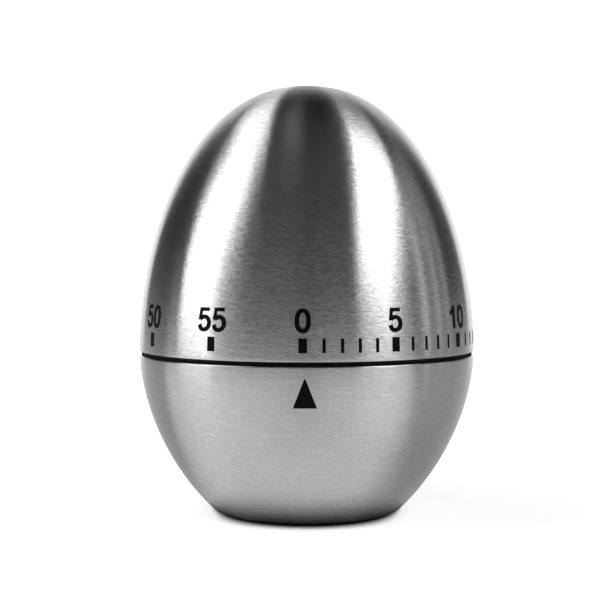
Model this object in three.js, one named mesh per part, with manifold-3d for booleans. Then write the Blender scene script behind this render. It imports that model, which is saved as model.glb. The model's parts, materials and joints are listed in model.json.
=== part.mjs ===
// Egg-shaped wind-up kitchen timer: two brushed steel shells round a 60-minute clockwork movement with a bell.
// Millimetres, +Z up, origin at the middle of the foot. The pointer faces -Y.
// Turning the dome clockwise, seen from above, winds the mainspring and sets the time.

import * as THREE from "three";
import { mergeVertices } from "three/addons/utils/BufferGeometryUtils.js";
import Module from "manifold-3d";

const wasm = await Module();
wasm.setup();

// ---------------------------------------------------------------- driving dimensions

// Clearances
const FIT = 0.05; // between pressed or fixed pieces, on the radius
const RUNNING = 0.08; // between a turning shaft and its hole, on the radius
const GAP = 0.3; // between neighbours that don't touch

// Outer form
const BODY_RADIUS = 30; // widest radius, at the seam
const SEAM_HEIGHT = 28.6; // middle of the seam above the table
const SEAM_WIDTH = 0.72; // dark line between the two shells
const DOME_HEIGHT = 47.5; // seam to the top
const DOME_RISE = 1.95; // exponents of the dome's egg curve
const DOME_BULGE = 2.22;
const BOWL_DEPTH = 36.3; // depth below the seam where the bowl's curve would close
const BOWL_BULGE = 1.76;
const SHELL_WALL = 0.6;
const ROLL_RADIUS = 0.8; // where the bowl turns in to its foot flange
const FLANGE_HOLE_RADIUS = 12.8;
const EDGE_ROUND = 0.18; // on the shells' seam edges

// Bottom cover
const FOOT_HEIGHT = 0.5;
const FOOT_RADIUS = 15.7;
const COVER_RECESS = 0.9;
const COVER_PLATE = 1.4;
const SPIGOT_WALL = 1.4;
const SOUND_SLOTS = 6;
const SLOT_RADIUS = 6.3;
const SLOT_WIDTH = 1.8;
const SLOT_SWEEP = 36; // degrees
const COVER_SCREW_ORBIT = 8.6;
const COVER_SCREWS = { radius: 1.8, height: 0.7, shankRadius: 1, length: 3.2 };
const COUNTERBORE_DEPTH = 0.6;

// Inner housing
const HOUSING_WALL = 1.4;
const HOUSING_RING_HEIGHT = 2.3;
const LOWER_BOSS = { radius: 2.1, height: 2.4 };
const UPPER_BOSS = { radius: 2.1, height: 4.8, inset: 2.28 }; // its middle stands that far in from the housing's bore
const SEAM_RING_RECESS = 0.42; // how far the dark ring stands back from the shells
const SEAM_RING_HEIGHT = 0.46;
const MOVEMENT_SCREWS = { radius: 1.9, height: 1, shankRadius: 1, length: 4.6 };
const SCREW_AZIMUTHS = [70, 190, 310];

// Bell
const BELL_RADIUS = 15.5;
const BELL_HEIGHT = 5.2;
const BELL_WALL = 0.8;
const BELL_CORNER = 2.2;
const BELL_POST_RADIUS = 3;
const BELL_POST_SPIGOT = 2.4; // radius in the lower plate
const BELL_CLEARANCE = 0.8; // above the lower bosses
const BELL_SCREW = { radius: 2.1, height: 0.9, shankRadius: 0.95, length: 3.6 };

// Movement plates
const PLATE_CLEARANCE = 0.82; // lower plate to the housing
const PLATE_THICKNESS = 1;
const EAR_RADIUS = 2;
const PILLAR_INSET = 2; // in from the plates' edge
const PILLAR_AZIMUTHS = [38, 142, 225, 332];
const PILLAR = { radius: 1.5, spigotRadius: 0.8 };
const BUSH = { radius: 3, flangeRadius: 4, flangeHeight: 0.6 };

// Dial arbor and its fittings
const ARBOR_RADIUS = 2.2;
const ARBOR_PIVOT_RADIUS = 1.2;
const ARBOR_PIVOT_LENGTH = 1.8;
const ARBOR_FLAT = 1.5; // from the axis to the flat that drives the dial
const HUB_GRIP = 6.6; // length of arbor inside the dial's hub
const CLIP = { radius: 3.4, thickness: 0.4, grooveRadius: 1.75, mouthAngle: 80 };
const RATCHET = { teeth: 14, tipRadius: 4.2, rootRadius: 3.4, thickness: 0.6 };
const CAM = { radius: 4.4, notchDepth: 1, notchAngle: 32, thickness: 0.8 };

// Dial carrier
const CARRIER_WEB = 1.5;
const CARRIER_RIM = { height: 4, wall: 1.4 };
const HUB = { radius: 4.4, height: 9 };
const RIBS = { count: 6, thickness: 1.2, height: 2.2 };

// Dial stop: a lug under the carrier meets a pin on the upper plate at both ends of the travel
const STOP_ORBIT = 14;
const STOP_PIN_RADIUS = 0.8;
const DIAL_TRAVEL = 348; // degrees, 58 minutes

// Gears: wheel teeth, pinion leaves, and each mesh's module as a multiple of the second mesh's
const FIRST_MESH = { teeth: 48, leaves: 6, multiple: 1.1 };
const SECOND_MESH = { teeth: 42, leaves: 6, multiple: 1 };
const THIRD_MESH = { teeth: 36, leaves: 6, multiple: 0.9 };
const STRIKE_MESH = { teeth: 48, leaves: 6, multiple: 1.1 };
const TRAIN_MARGIN = 1.8; // from the second wheel's teeth to the edge of the plates
const PRESSURE = Math.tan(Math.PI / 9); // 20 degrees
const TOOTH = { addendum: 0.8, dedendum: 1.15, backlash: 0.16 };
const LEAF = { addendum: 0.7, dedendum: 1.15, backlash: 0.22, tipShare: 0.36 };
const WHEEL_THICKNESS = 0.8;
const PINION_OVERLAP = 0.3; // how far a pinion stands past its wheel on each side
const PIN_RADIUS = 0.5; // of the small arbors
const PIN_HUB_RADIUS = 1.2; // of what swings on them
const ESCAPE = { teeth: 15, tipRadius: 4.4, rootRadius: 3.3 };
const STAR = { teeth: 12, tipRadius: 4.6, rootRadius: 3.2 };

// Mainspring and its barrel
const BARREL = { floorThickness: 1.2, height: 4, wallThickness: 0.8, inset: 0.6 }; // wall in from the pitch circle
const MAINSPRING = { turns: 4, thickness: 0.35, height: 2.4 };

// Where the small arbors stand. An orbit ratio is an orbit round the dial's axis over the second mesh's module.
const SECOND_AZIMUTH = 200;
const THIRD_CLEARANCE = 0.49; // third arbor to the main wheel's teeth
const ESCAPE_ORBIT_RATIO = 32.5;
const BALANCE_ORBIT_RATIO = 36.25;
const STRIKE_AZIMUTH = 90;
const HAMMER_ORBIT_RATIO = 41.25;
const HAMMER_STANDOFF = 1.6; // hammer arbor to the star wheel's teeth
const BALANCE_STANDOFF = 2; // balance staff to the escape wheel's teeth
const DETENT = {
  orbit: 11, azimuth: 50, thickness: 0.8, hubRadius: 1.3, armLength: 3.5, tabRadius: 0.45,
  noseRadius: 0.45, beakLength: 1.5, tailLength: 2.6,
};
const DETENT_SPRING = { orbit: 16.4, azimuth: 26 }; // where its post stands

// Swinging pieces
const TOUCH = 0.15; // pallets, tab and hammer stop this far short of what they strike
const BALANCE = { swing: 10, thickness: 1, armLength: 3.3, pinRadius: 0.25, beamReach: 4.8, weightRadius: 1.3 };
const HAMMER = {
  swing: 4, thickness: 0.8, armLength: 3.3, palletRadius: 0.4, headRadius: 1.1, headLength: 3.8, leadAngle: 25,
};
const LEVER_HALF_WIDTH = 0.65;
const STUD = { radius: 0.65, headRadius: 1.1, headHeight: 0.3 };
const CLICK = {
  orbit: 7.4, leadAngle: 57, halfWidth: 0.5, noseAngle: 2.2, heelAngle: 17, noseDepth: 0.45, noseHeight: 1,
};
const CLICK_SPRING = { anchorAngle: 62, tipAngle: 8, tipOffset: 1.6 }; // measured from the click's stud
const SPRING_STRIP = 0.25; // thickness of the small leaf springs

// Faceting
const SHELL_SEGMENTS = 36;
const ROUND_SEGMENTS = 20;
const SMALL_SEGMENTS = 10; // screws, bosses and hubs
const PIN_SEGMENTS = 8; // arbors, pins and their holes

// ---------------------------------------------------------------- materials

const finish = (color, metalness, roughness) => new THREE.MeshStandardMaterial({ color, metalness, roughness });
const BRUSHED_STEEL = finish(0xb9b9b8, 1, 0.36);
const PLATE_STEEL = finish(0x9da0a3, 1, 0.42);
const HARD_STEEL = finish(0x70757a, 1, 0.3);
const SPRING_STEEL = finish(0x4a5560, 1, 0.35);
const BELL_STEEL = finish(0xc9cacb, 1, 0.15);
const BRASS = finish(0xc8a24c, 1, 0.32);
const BLACK_PLASTIC = finish(0x151515, 0, 0.55);
const WHITE_ACETAL = finish(0xe8e6df, 0, 0.45);

// ---------------------------------------------------------------- geometry helpers

const radians = THREE.MathUtils.degToRad;
const TAU = 2 * Math.PI;
const polar = (radius, degrees) => [radius * Math.cos(radians(degrees)), radius * Math.sin(radians(degrees))];
const distance = ([x, y], [u, v]) => Math.hypot(u - x, v - y);
const bearing = ([x, y], [u, v]) => THREE.MathUtils.radToDeg(Math.atan2(v - y, u - x));
const steps = (count, make) => Array.from({ length: count }, (_, i) => make(i));

// The radius of a polygon whose flats, not its corners, lie at the given radius.
const clearOf = (radius, segments) => radius / Math.cos(Math.PI / segments);

// A solid of revolution about Z. The [radius, height] points run up the outside and down the inside, and
// either start and end on the axis or make a loop.
function turned(profile, segments = ROUND_SEGMENTS) {
  const points = profile.map(([radius, height]) => new THREE.Vector2(radius, height));
  const onAxis = points[0].x === 0 && points.at(-1).x === 0;
  if (!onAxis) points.push(points[0].clone());
  return new THREE.LatheGeometry(points, segments).rotateX(Math.PI / 2);
}

// A straight prism that stands on z = low.
function prism(outline, low, high, holes = []) {
  const toPath = (points) => points.map(([x, y]) => new THREE.Vector2(x, y));
  const shape = new THREE.Shape(toPath(outline));
  shape.holes = holes.map((hole) => new THREE.Path(toPath(hole)));
  return new THREE.ExtrudeGeometry(shape, { depth: high - low, bevelEnabled: false }).translate(0, 0, low);
}

// A regular polygon for a round shape, with a corner at -Y as a turned piece has.
function circle(radius, segments = ROUND_SEGMENTS, [x, y] = [0, 0]) {
  return steps(segments, (i) => {
    const angle = (TAU * i) / segments - Math.PI / 2;
    return [x + radius * Math.cos(angle), y + radius * Math.sin(angle)];
  });
}

const rod = (radius, low, high, segments = PIN_SEGMENTS, at = [0, 0]) =>
  prism(circle(radius, segments, at), low, high);

// The outline of a bar with round ends between two points.
function link(from, to, halfWidth, segments = 6) {
  const along = radians(bearing(from, to));
  const end = ([x, y], start) =>
    steps(segments + 1, (i) => {
      const angle = start + (Math.PI * i) / segments;
      return [x + halfWidth * Math.cos(angle), y + halfWidth * Math.sin(angle)];
    });
  return [...end(to, along - Math.PI / 2), ...end(from, along + Math.PI / 2)];
}

// The outline of a tongue with a round tip and a square root.
function tongue(tip, root, halfWidth) {
  const along = radians(bearing(root, tip));
  const corner = (angle) => [root[0] + halfWidth * Math.cos(angle), root[1] + halfWidth * Math.sin(angle)];
  return [
    ...link(root, tip, halfWidth).slice(0, 7),
    corner(along + Math.PI / 2),
    corner(along - Math.PI / 2),
  ];
}

// A closed outline that follows a ring from one azimuth to another.
function arcBand(inner, outer, from, to, segments = 8) {
  const at = (radius, i) => polar(radius, from + ((to - from) * i) / segments);
  return [
    ...steps(segments + 1, (i) => at(outer, i)),
    ...steps(segments + 1, (i) => at(inner, segments - i)),
  ];
}

function toSolid(geometry) {
  const bare = geometry.clone();
  bare.deleteAttribute("normal");
  bare.deleteAttribute("uv");
  const merged = mergeVertices(bare, 1e-4);
  const vertProperties = merged.attributes.position.array;
  const triVerts = new Uint32Array(merged.index.array);
  return new wasm.Manifold(new wasm.Mesh({ numProp: 3, vertProperties, triVerts }));
}

function toGeometry(solid) {
  const mesh = solid.getMesh();
  const geometry = new THREE.BufferGeometry();
  geometry.setAttribute("position", new THREE.BufferAttribute(mesh.vertProperties, 3));
  geometry.setIndex(new THREE.BufferAttribute(mesh.triVerts, 1));
  geometry.computeVertexNormals();
  return geometry;
}

const join = (...pieces) => toGeometry(pieces.map(toSolid).reduce((all, piece) => all.add(piece)));
const cut = (body, ...tools) =>
  toGeometry(tools.map(toSolid).reduce((left, tool) => left.subtract(tool), toSolid(body)));

function piece(name, geometry, material, [x, y] = [0, 0], turn = 0) {
  const mesh = new THREE.Mesh(geometry, material);
  mesh.name = name;
  mesh.position.set(x, y, 0);
  mesh.rotation.z = radians(turn);
  return mesh;
}

function assembly(...children) {
  const group = new THREE.Group();
  group.add(...children);
  return group;
}

// ---------------------------------------------------------------- egg curves

// Radius of the dome at a height above the seam, or of the curve that lies a little inside it.
function domeRadius(height, inset = 0) {
  const rise = Math.min(1, height / (DOME_HEIGHT - inset));
  return (BODY_RADIUS - inset) * (1 - rise ** DOME_RISE) ** (1 / DOME_BULGE);
}

// Radius of the bowl at a height above the table, or of the curve that lies a little inside it.
function bowlRadius(height, inset = 0) {
  const drop = Math.max(0, SEAM_HEIGHT - height) / (BOWL_DEPTH - inset);
  return (BODY_RADIUS - inset) * (1 - drop ** BOWL_BULGE) ** (1 / BOWL_BULGE);
}

// Points of the dome's curve from a height above the seam to the top.
function domeCurve(inset, from, count) {
  const top = DOME_HEIGHT - inset;
  return steps(count + 1, (i) => {
    const height = from + (top - from) * Math.sin((Math.PI / 2) * (i / count)) ** (2 / DOME_RISE);
    return [i === count ? 0 : domeRadius(height, inset), SEAM_HEIGHT + height];
  });
}

// Points of the bowl's curve between two heights above the table.
const bowlCurve = (inset, from, to, count) =>
  steps(count + 1, (i) => {
    const height = from + ((to - from) * i) / count;
    return [bowlRadius(height, inset), height];
  });

// Where the bowl's wall runs into the roll at its foot: the roll's centre, and how far the wall leans out.
function findRoll() {
  const probe = 0.1;
  let lean = Math.PI / 4;
  let start = 0;
  steps(5, () => {
    start = FOOT_HEIGHT + ROLL_RADIUS * (1 - Math.sin(lean));
    lean = Math.atan((bowlRadius(start + probe) - bowlRadius(start)) / probe);
  });
  const centre = [bowlRadius(start) - ROLL_RADIUS * Math.cos(lean), FOOT_HEIGHT + ROLL_RADIUS];
  return { centre, lean, start };
}

// ---------------------------------------------------------------- heights, from the table up

const flangeTop = FOOT_HEIGHT + SHELL_WALL;
const coverTop = COVER_RECESS + COVER_PLATE;
const spigotRadius = FLANGE_HOLE_RADIUS - GAP;
const lowerBossBottom = coverTop + GAP;
const lowerBossTop = lowerBossBottom + LOWER_BOSS.height;
const bellBottom = lowerBossTop + BELL_CLEARANCE;
const bellFloorTop = bellBottom + BELL_WALL;
const bellRim = bellBottom + BELL_HEIGHT;
const hammerArmBottom = bellRim + GAP;
const hammerArmTop = hammerArmBottom + HAMMER.thickness;
const lowerPlate = hammerArmTop + 1.5 * GAP;
const lowerPlateTop = lowerPlate + PLATE_THICKNESS;
const barrelBottom = lowerPlateTop + GAP;
const barrelTop = barrelBottom + BARREL.height;
const mainWheelBottom = barrelTop + 2 * GAP;
const mainWheelTop = mainWheelBottom + WHEEL_THICKNESS;
const ratchetBottom = mainWheelTop + GAP;
const ratchetTop = ratchetBottom + RATCHET.thickness;
const secondWheelBottom = ratchetTop + 1.4 * GAP;
const secondWheelTop = secondWheelBottom + WHEEL_THICKNESS;
const thirdWheelBottom = secondWheelTop + 2 * PINION_OVERLAP + GAP;
const thirdWheelTop = thirdWheelBottom + WHEEL_THICKNESS;
const upperPlate = thirdWheelTop + 4 * GAP;
const upperPlateTop = upperPlate + PLATE_THICKNESS;
const upperBossBottom = upperPlate - UPPER_BOSS.height;
const bushTop = upperPlateTop + BUSH.flangeHeight;
const clipBottom = bushTop + GAP / 2;
const hubBottom = clipBottom + CLIP.thickness + GAP;
const shellTop = SEAM_HEIGHT - SEAM_WIDTH / 2;
const domeEdge = SEAM_WIDTH / 2; // above the seam
const seamRingBottom = shellTop + FIT;
const seamRingTop = seamRingBottom + SEAM_RING_HEIGHT;
const carrierBottom = seamRingTop + GAP;
const webBottom = carrierBottom + GAP;
const webTop = webBottom + CARRIER_WEB;

// ---------------------------------------------------------------- radii that follow from the housing

const housingBore = (height) => bowlRadius(height, SHELL_WALL + GAP + HOUSING_WALL);
const plateRadius = housingBore(lowerPlate) - PLATE_CLEARANCE;
const pillarOrbit = plateRadius - PILLAR_INSET;
const screwOrbit = housingBore(upperPlate) - UPPER_BOSS.inset;

// ---------------------------------------------------------------- where the arbors stand

const CENTRE = [0, 0];
const meshDistance = ({ teeth, leaves, module }) => (module * (teeth + leaves)) / 2;

// The second wheel reaches furthest out, so it sets the module.
const firstReach = (FIRST_MESH.multiple * (FIRST_MESH.teeth + FIRST_MESH.leaves)) / 2;
const secondReach = firstReach + SECOND_MESH.teeth / 2 + TOOTH.addendum;
const baseModule = (plateRadius - TRAIN_MARGIN) / secondReach;
const sized = (mesh) => ({ ...mesh, module: mesh.multiple * baseModule });
const [firstMesh, secondMesh, thirdMesh, strikeMesh] = [FIRST_MESH, SECOND_MESH, THIRD_MESH, STRIKE_MESH].map(sized);
const thirdOrbit = firstMesh.module * (firstMesh.teeth / 2 + TOOTH.addendum) + PIN_RADIUS + THIRD_CLEARANCE;
const balanceReach = ESCAPE.tipRadius + BALANCE_STANDOFF;
const hammerOrbit = HAMMER_ORBIT_RATIO * baseModule;
const hammerReach = STAR.tipRadius + HAMMER_STANDOFF;

// The point on an orbit round the dial's axis that lies a given distance further round from another point.
function nextOnOrbit(from, reach, orbit) {
  const radius = Math.hypot(...from);
  const cosine = (radius ** 2 + orbit ** 2 - reach ** 2) / (2 * radius * orbit);
  return polar(orbit, bearing(CENTRE, from) + THREE.MathUtils.radToDeg(Math.acos(cosine)));
}

const secondAt = polar(meshDistance(firstMesh), SECOND_AZIMUTH);
const thirdAt = nextOnOrbit(secondAt, meshDistance(secondMesh), thirdOrbit);
const escapeAt = nextOnOrbit(thirdAt, meshDistance(thirdMesh), ESCAPE_ORBIT_RATIO * baseModule);
const balanceAt = nextOnOrbit(escapeAt, balanceReach, BALANCE_ORBIT_RATIO * baseModule);
const strikeAt = polar(meshDistance(strikeMesh), STRIKE_AZIMUTH);
const hammerAt = nextOnOrbit(strikeAt, hammerReach, hammerOrbit);
const detentAt = polar(DETENT.orbit, DETENT.azimuth);

// How far a pinion is turned so that its leaves stand between the wheel's teeth.
function pinionTurn({ teeth, leaves }, wheelTurn, wheelAt, pinionAt) {
  const toward = bearing(wheelAt, pinionAt);
  return toward + 180 - 180 / leaves - (teeth / leaves) * (wheelTurn - toward);
}

const secondTurn = pinionTurn(firstMesh, 0, CENTRE, secondAt);
const thirdTurn = pinionTurn(secondMesh, secondTurn, secondAt, thirdAt);
const escapeTurn = pinionTurn(thirdMesh, thirdTurn, thirdAt, escapeAt);
const strikeTurn = pinionTurn(strikeMesh, 0, CENTRE, strikeAt);

// ---------------------------------------------------------------- gears

// A toothed outline: each tooth gives its corners as [radius, angle from the tooth's middle].
const toothed = (count, corners) =>
  steps(count, (i) => corners.map(([radius, angle]) => {
    const at = (TAU * i) / count + angle;
    return [radius * Math.cos(at), radius * Math.sin(at)];
  })).flat();

function wheelOutline({ teeth, module }) {
  const pitch = (module * teeth) / 2;
  const tip = pitch + TOOTH.addendum * module;
  const root = pitch - TOOTH.dedendum * module;
  const half = ((Math.PI * module) / 4) * (1 - TOOTH.backlash);
  const tipAngle = (half - TOOTH.addendum * module * PRESSURE) / tip;
  const rootAngle = (half + TOOTH.dedendum * module * PRESSURE) / root;
  return toothed(teeth, [[root, -rootAngle], [tip, -tipAngle], [tip, tipAngle], [root, rootAngle]]);
}

function pinionOutline({ leaves, module }) {
  const pitch = (module * leaves) / 2;
  const tip = pitch + LEAF.addendum * module;
  const root = pitch - LEAF.dedendum * module;
  const half = (Math.PI / (2 * leaves)) * (1 - LEAF.backlash);
  const tipAngle = half * LEAF.tipShare;
  const flank = [[root, -half], [pitch, -half], [tip, -tipAngle], [tip, tipAngle], [pitch, half], [root, half]];
  return toothed(leaves, flank);
}

const pinHole = () => circle(PIN_RADIUS + FIT, PIN_SEGMENTS);

// A moulded wheel and pinion in one piece, with the bore for its arbor. Wheel and pinion are { outline, low, high }.
function wheelWithPinion(wheel, pinion, neckRadius) {
  const low = Math.min(wheel.low, pinion.low);
  const high = Math.max(wheel.high, pinion.high);
  return join(
    prism(wheel.outline, wheel.low, wheel.high, [pinHole()]),
    prism(pinion.outline, pinion.low, pinion.high, [pinHole()]),
    prism(circle(neckRadius, PIN_SEGMENTS), low, high, [pinHole()]),
  );
}

// ---------------------------------------------------------------- swinging pieces

// The angle off the line of centres at which a pallet stands, so that it stays just clear of a toothed wheel
// when its arm has swung towards the line.
function palletAngle(reach, arm, palletRadius, wheelTip, swing) {
  const clear = wheelTip + palletRadius + TOUCH;
  const cosine = (reach ** 2 + arm ** 2 - clear ** 2) / (2 * reach * arm);
  return swing + THREE.MathUtils.radToDeg(Math.acos(cosine));
}

// Both pallets' places, in the frame of the piece that carries them.
function palletPlaces(at, wheelAt, arm, angle) {
  const toward = bearing(at, wheelAt);
  return [-1, 1].map((side) => polar(arm, toward + side * angle));
}

// ---------------------------------------------------------------- fasteners and studs

// A pan-head screw with its head on z = 0 and its shank below, slotted.
function screwGeometry({ radius, height, shankRadius, length }) {
  const tip = 0.5 * shankRadius;
  const body = turned([
    [0, -length], [tip, -length], [shankRadius, -length + tip], [shankRadius, 0], [radius, 0],
    [radius, 0.5 * height], [0.75 * radius, height], [0, height],
  ], SMALL_SEGMENTS);
  const slot = new THREE.BoxGeometry(2.4 * radius, 0.3 * radius, height).translate(0, 0, height);
  return cut(body, slot);
}

// A shouldered stud that hangs from z = top through a plate, with a head at its low end.
const studGeometry = (low, top) => turned([
  [0, low], [STUD.headRadius, low], [STUD.headRadius, low + STUD.headHeight],
  [STUD.radius, low + STUD.headHeight], [STUD.radius, top], [0, top],
], PIN_SEGMENTS);

// ---------------------------------------------------------------- casing

function domeShell() {
  const edge = SEAM_HEIGHT + domeEdge;
  const outer = domeCurve(0, domeEdge + EDGE_ROUND, 11);
  const inner = domeCurve(SHELL_WALL, domeEdge + EDGE_ROUND, 8).reverse();
  const lip = [
    [inner.at(-1)[0], edge],
    [outer[0][0] - EDGE_ROUND, edge],
  ];
  return piece("dome_shell", turned([...inner, ...lip, ...outer], SHELL_SEGMENTS), BRUSHED_STEEL);
}

function baseShell() {
  const { centre, lean, start } = findRoll();
  const arc = (radius, count) => steps(count + 1, (i) => {
    const angle = -Math.PI / 2 + ((Math.PI / 2 - lean) * i) / count;
    return [centre[0] + radius * Math.cos(angle), centre[1] + radius * Math.sin(angle)];
  });
  const outer = bowlCurve(0, start, shellTop - EDGE_ROUND, 7).slice(1);
  const inner = bowlCurve(SHELL_WALL, centre[1] + SHELL_WALL, shellTop, 6).reverse();
  const profile = [
    [FLANGE_HOLE_RADIUS, FOOT_HEIGHT],
    ...arc(ROLL_RADIUS, 3),
    ...outer,
    [bowlRadius(shellTop) - EDGE_ROUND, shellTop],
    ...inner,
    ...arc(ROLL_RADIUS - SHELL_WALL, 2).reverse(),
    [FLANGE_HOLE_RADIUS, flangeTop],
  ];
  return piece("base_shell", turned(profile, SHELL_SEGMENTS), BRUSHED_STEEL);
}

function baseHousing() {
  const outerInset = SHELL_WALL + GAP;
  const innerInset = outerInset + HOUSING_WALL;
  const ringTop = flangeTop + HOUSING_RING_HEIGHT;
  const { centre } = findRoll();
  const seatRadius = centre[0] - ROLL_RADIUS;
  const outer = [
    [FLANGE_HOLE_RADIUS, flangeTop],
    [seatRadius, flangeTop],
    ...bowlCurve(outerInset, flangeTop + 2 * SHELL_WALL, seamRingBottom, 5),
    [BODY_RADIUS - SEAM_RING_RECESS, seamRingBottom],
    [BODY_RADIUS - SEAM_RING_RECESS, seamRingTop],
  ];
  const cup = turned([
    ...outer,
    ...bowlCurve(innerInset, ringTop, seamRingTop, 4).reverse(),
    [FLANGE_HOLE_RADIUS, ringTop],
  ], SHELL_SEGMENTS);
  const screwHole = (orbit, azimuth, shank, low, high) =>
    rod(shank + 2 * FIT, low, high, PIN_SEGMENTS, polar(orbit, azimuth));
  const solids = SCREW_AZIMUTHS.flatMap((azimuth) => [upperBoss(azimuth), lowerBoss(azimuth)]);
  const holes = SCREW_AZIMUTHS.flatMap((azimuth) => [
    screwHole(screwOrbit, azimuth, MOVEMENT_SCREWS.shankRadius, upperBossBottom - 1, upperPlate + 1),
    screwHole(COVER_SCREW_ORBIT, azimuth, COVER_SCREWS.shankRadius, lowerBossBottom - 1, lowerBossTop + 1),
  ]);
  return piece("base_housing", cut(join(cup, ...solids), ...holes), BLACK_PLASTIC);
}

// The boss that carries the movement, rooted in the middle of the housing's wall.
function upperBoss(azimuth) {
  const { radius } = UPPER_BOSS;
  const middle = bowlRadius(upperBossBottom, SHELL_WALL + GAP + HOUSING_WALL / 4);
  const reach = Math.sqrt(middle ** 2 - radius ** 2);
  return prism(tongue(polar(screwOrbit, azimuth), polar(reach, azimuth), radius), upperBossBottom, upperPlate);
}

// The boss for a cover screw, on an arm that springs from the housing's bottom ring.
function lowerBoss(azimuth) {
  const { radius } = LOWER_BOSS;
  const root = polar(FLANGE_HOLE_RADIUS + HOUSING_WALL, azimuth);
  return prism(tongue(polar(COVER_SCREW_ORBIT, azimuth), root, radius), lowerBossBottom, lowerBossTop);
}

function bottomCover() {
  const profile = [
    [0, COVER_RECESS],
    [spigotRadius - SPIGOT_WALL, COVER_RECESS],
    [spigotRadius - SPIGOT_WALL, 0],
    [FOOT_RADIUS, 0],
    [FOOT_RADIUS, FOOT_HEIGHT],
    [spigotRadius, FOOT_HEIGHT],
    [spigotRadius, coverTop],
    [0, coverTop],
  ];
  const slots = steps(SOUND_SLOTS, (i) => {
    const middle = SCREW_AZIMUTHS[0] + (360 * (i + 0.5)) / SOUND_SLOTS;
    const [inner, outer] = [SLOT_RADIUS - SLOT_WIDTH / 2, SLOT_RADIUS + SLOT_WIDTH / 2];
    return prism(arcBand(inner, outer, middle - SLOT_SWEEP / 2, middle + SLOT_SWEEP / 2, 5), 0, coverTop + 1);
  });
  const screwHoles = SCREW_AZIMUTHS.flatMap((azimuth) => {
    const at = polar(COVER_SCREW_ORBIT, azimuth);
    const { radius, shankRadius } = COVER_SCREWS;
    return [
      rod(shankRadius + GAP, 0, coverTop + 1, SMALL_SEGMENTS, at),
      rod(radius + GAP, -1, COVER_RECESS + COUNTERBORE_DEPTH, SMALL_SEGMENTS, at),
    ];
  });
  return piece("bottom_cover", cut(turned(profile, SHELL_SEGMENTS), ...slots, ...screwHoles), BLACK_PLASTIC);
}

function coverScrews() {
  return SCREW_AZIMUTHS.map((azimuth, i) => {
    const geometry = screwGeometry(COVER_SCREWS).rotateX(Math.PI);
    const seat = COVER_RECESS + COUNTERBORE_DEPTH - FIT;
    return piece(`cover_screw_${i + 1}`, geometry.translate(0, 0, seat), HARD_STEEL, polar(COVER_SCREW_ORBIT, azimuth));
  });
}

function movementScrews() {
  return SCREW_AZIMUTHS.map((azimuth, i) => {
    const geometry = screwGeometry(MOVEMENT_SCREWS).translate(0, 0, upperPlateTop + FIT);
    return piece(`movement_screw_${i + 1}`, geometry, HARD_STEEL, polar(screwOrbit, azimuth));
  });
}

// ---------------------------------------------------------------- dial

function dialCarrier() {
  const inset = SHELL_WALL + GAP;
  const rimTop = carrierBottom + CARRIER_RIM.height;
  const hubTop = hubBottom + HUB.height;
  const outerRim = steps(4, (i) => {
    const height = carrierBottom + (CARRIER_RIM.height * i) / 3;
    return [domeRadius(height - SEAM_HEIGHT, inset), height];
  });
  const rimInner = outerRim[3][0] - CARRIER_RIM.wall;
  const body = turned([
    [0, hubBottom], [HUB.radius, hubBottom], [HUB.radius, webBottom], [rimInner, webBottom], [rimInner, carrierBottom],
    ...outerRim,
    [rimInner, rimTop], [rimInner, webTop], [HUB.radius, webTop], [HUB.radius, hubTop], [0, hubTop],
  ], SHELL_SEGMENTS);
  const ribs = steps(RIBS.count, (i) => {
    const azimuth = (360 * i) / RIBS.count;
    const outline = link(polar(HUB.radius - RIBS.thickness, azimuth), polar(rimInner, azimuth), RIBS.thickness / 2, 2);
    return prism(outline, webTop - FIT, webTop + RIBS.height);
  });
  const bore = dRod(ARBOR_RADIUS + FIT, ARBOR_FLAT + FIT, hubBottom - 1, hubBottom + HUB_GRIP + GAP);
  return piece("dial_carrier", cut(join(body, ...ribs, stopLug()), bore), BLACK_PLASTIC);
}

// The half-widths of lug and pin together leave out of a full turn exactly what the dial can't travel.
function stopLug() {
  const blocked = radians(360 - DIAL_TRAVEL);
  const halfWidth = (blocked / 2) * STOP_ORBIT - STOP_PIN_RADIUS - FIT;
  const depth = 2 * STOP_PIN_RADIUS;
  const azimuth = stopLugAzimuth();
  const from = polar(STOP_ORBIT - depth / 2, azimuth);
  const to = polar(STOP_ORBIT + depth / 2, azimuth);
  return prism(link(from, to, halfWidth, 4), upperPlateTop + 2 * GAP, webBottom + FIT);
}

const STOP_PIN_AZIMUTH = 0;
const stopLugAzimuth = () => STOP_PIN_AZIMUTH - (360 - DIAL_TRAVEL) / 2;

// A round bar with one flat side towards -Y.
function dRod(radius, flat, low, high) {
  const width = 4 * radius;
  const beyond = new THREE.BoxGeometry(width, width, 2 * (high - low));
  beyond.translate(0, -flat - width / 2, (low + high) / 2);
  return cut(rod(radius, low, high, ROUND_SEGMENTS), beyond);
}

function arbor() {
  const shoulder = lowerPlateTop + FIT;
  const gripTop = hubBottom + HUB_GRIP;
  const stem = turned([
    [0, shoulder - ARBOR_PIVOT_LENGTH], [ARBOR_PIVOT_RADIUS, shoulder - ARBOR_PIVOT_LENGTH],
    [ARBOR_PIVOT_RADIUS, shoulder], [ARBOR_RADIUS, shoulder],
    [ARBOR_RADIUS, clipBottom - FIT], [CLIP.grooveRadius, clipBottom - FIT],
    [CLIP.grooveRadius, clipBottom + CLIP.thickness + FIT], [ARBOR_RADIUS, clipBottom + CLIP.thickness + FIT],
    [ARBOR_RADIUS, hubBottom], [0, hubBottom],
  ]);
  return piece("dial_arbor", join(stem, dRod(ARBOR_RADIUS, ARBOR_FLAT, hubBottom - FIT, gripTop)), HARD_STEEL);
}

function arborClip() {
  const outline = arcBand(CLIP.grooveRadius + FIT, CLIP.radius, CLIP.mouthAngle / 2, 360 - CLIP.mouthAngle / 2, 14);
  return piece("arbor_clip", prism(outline, clipBottom, clipBottom + CLIP.thickness), SPRING_STEEL);
}

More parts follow.
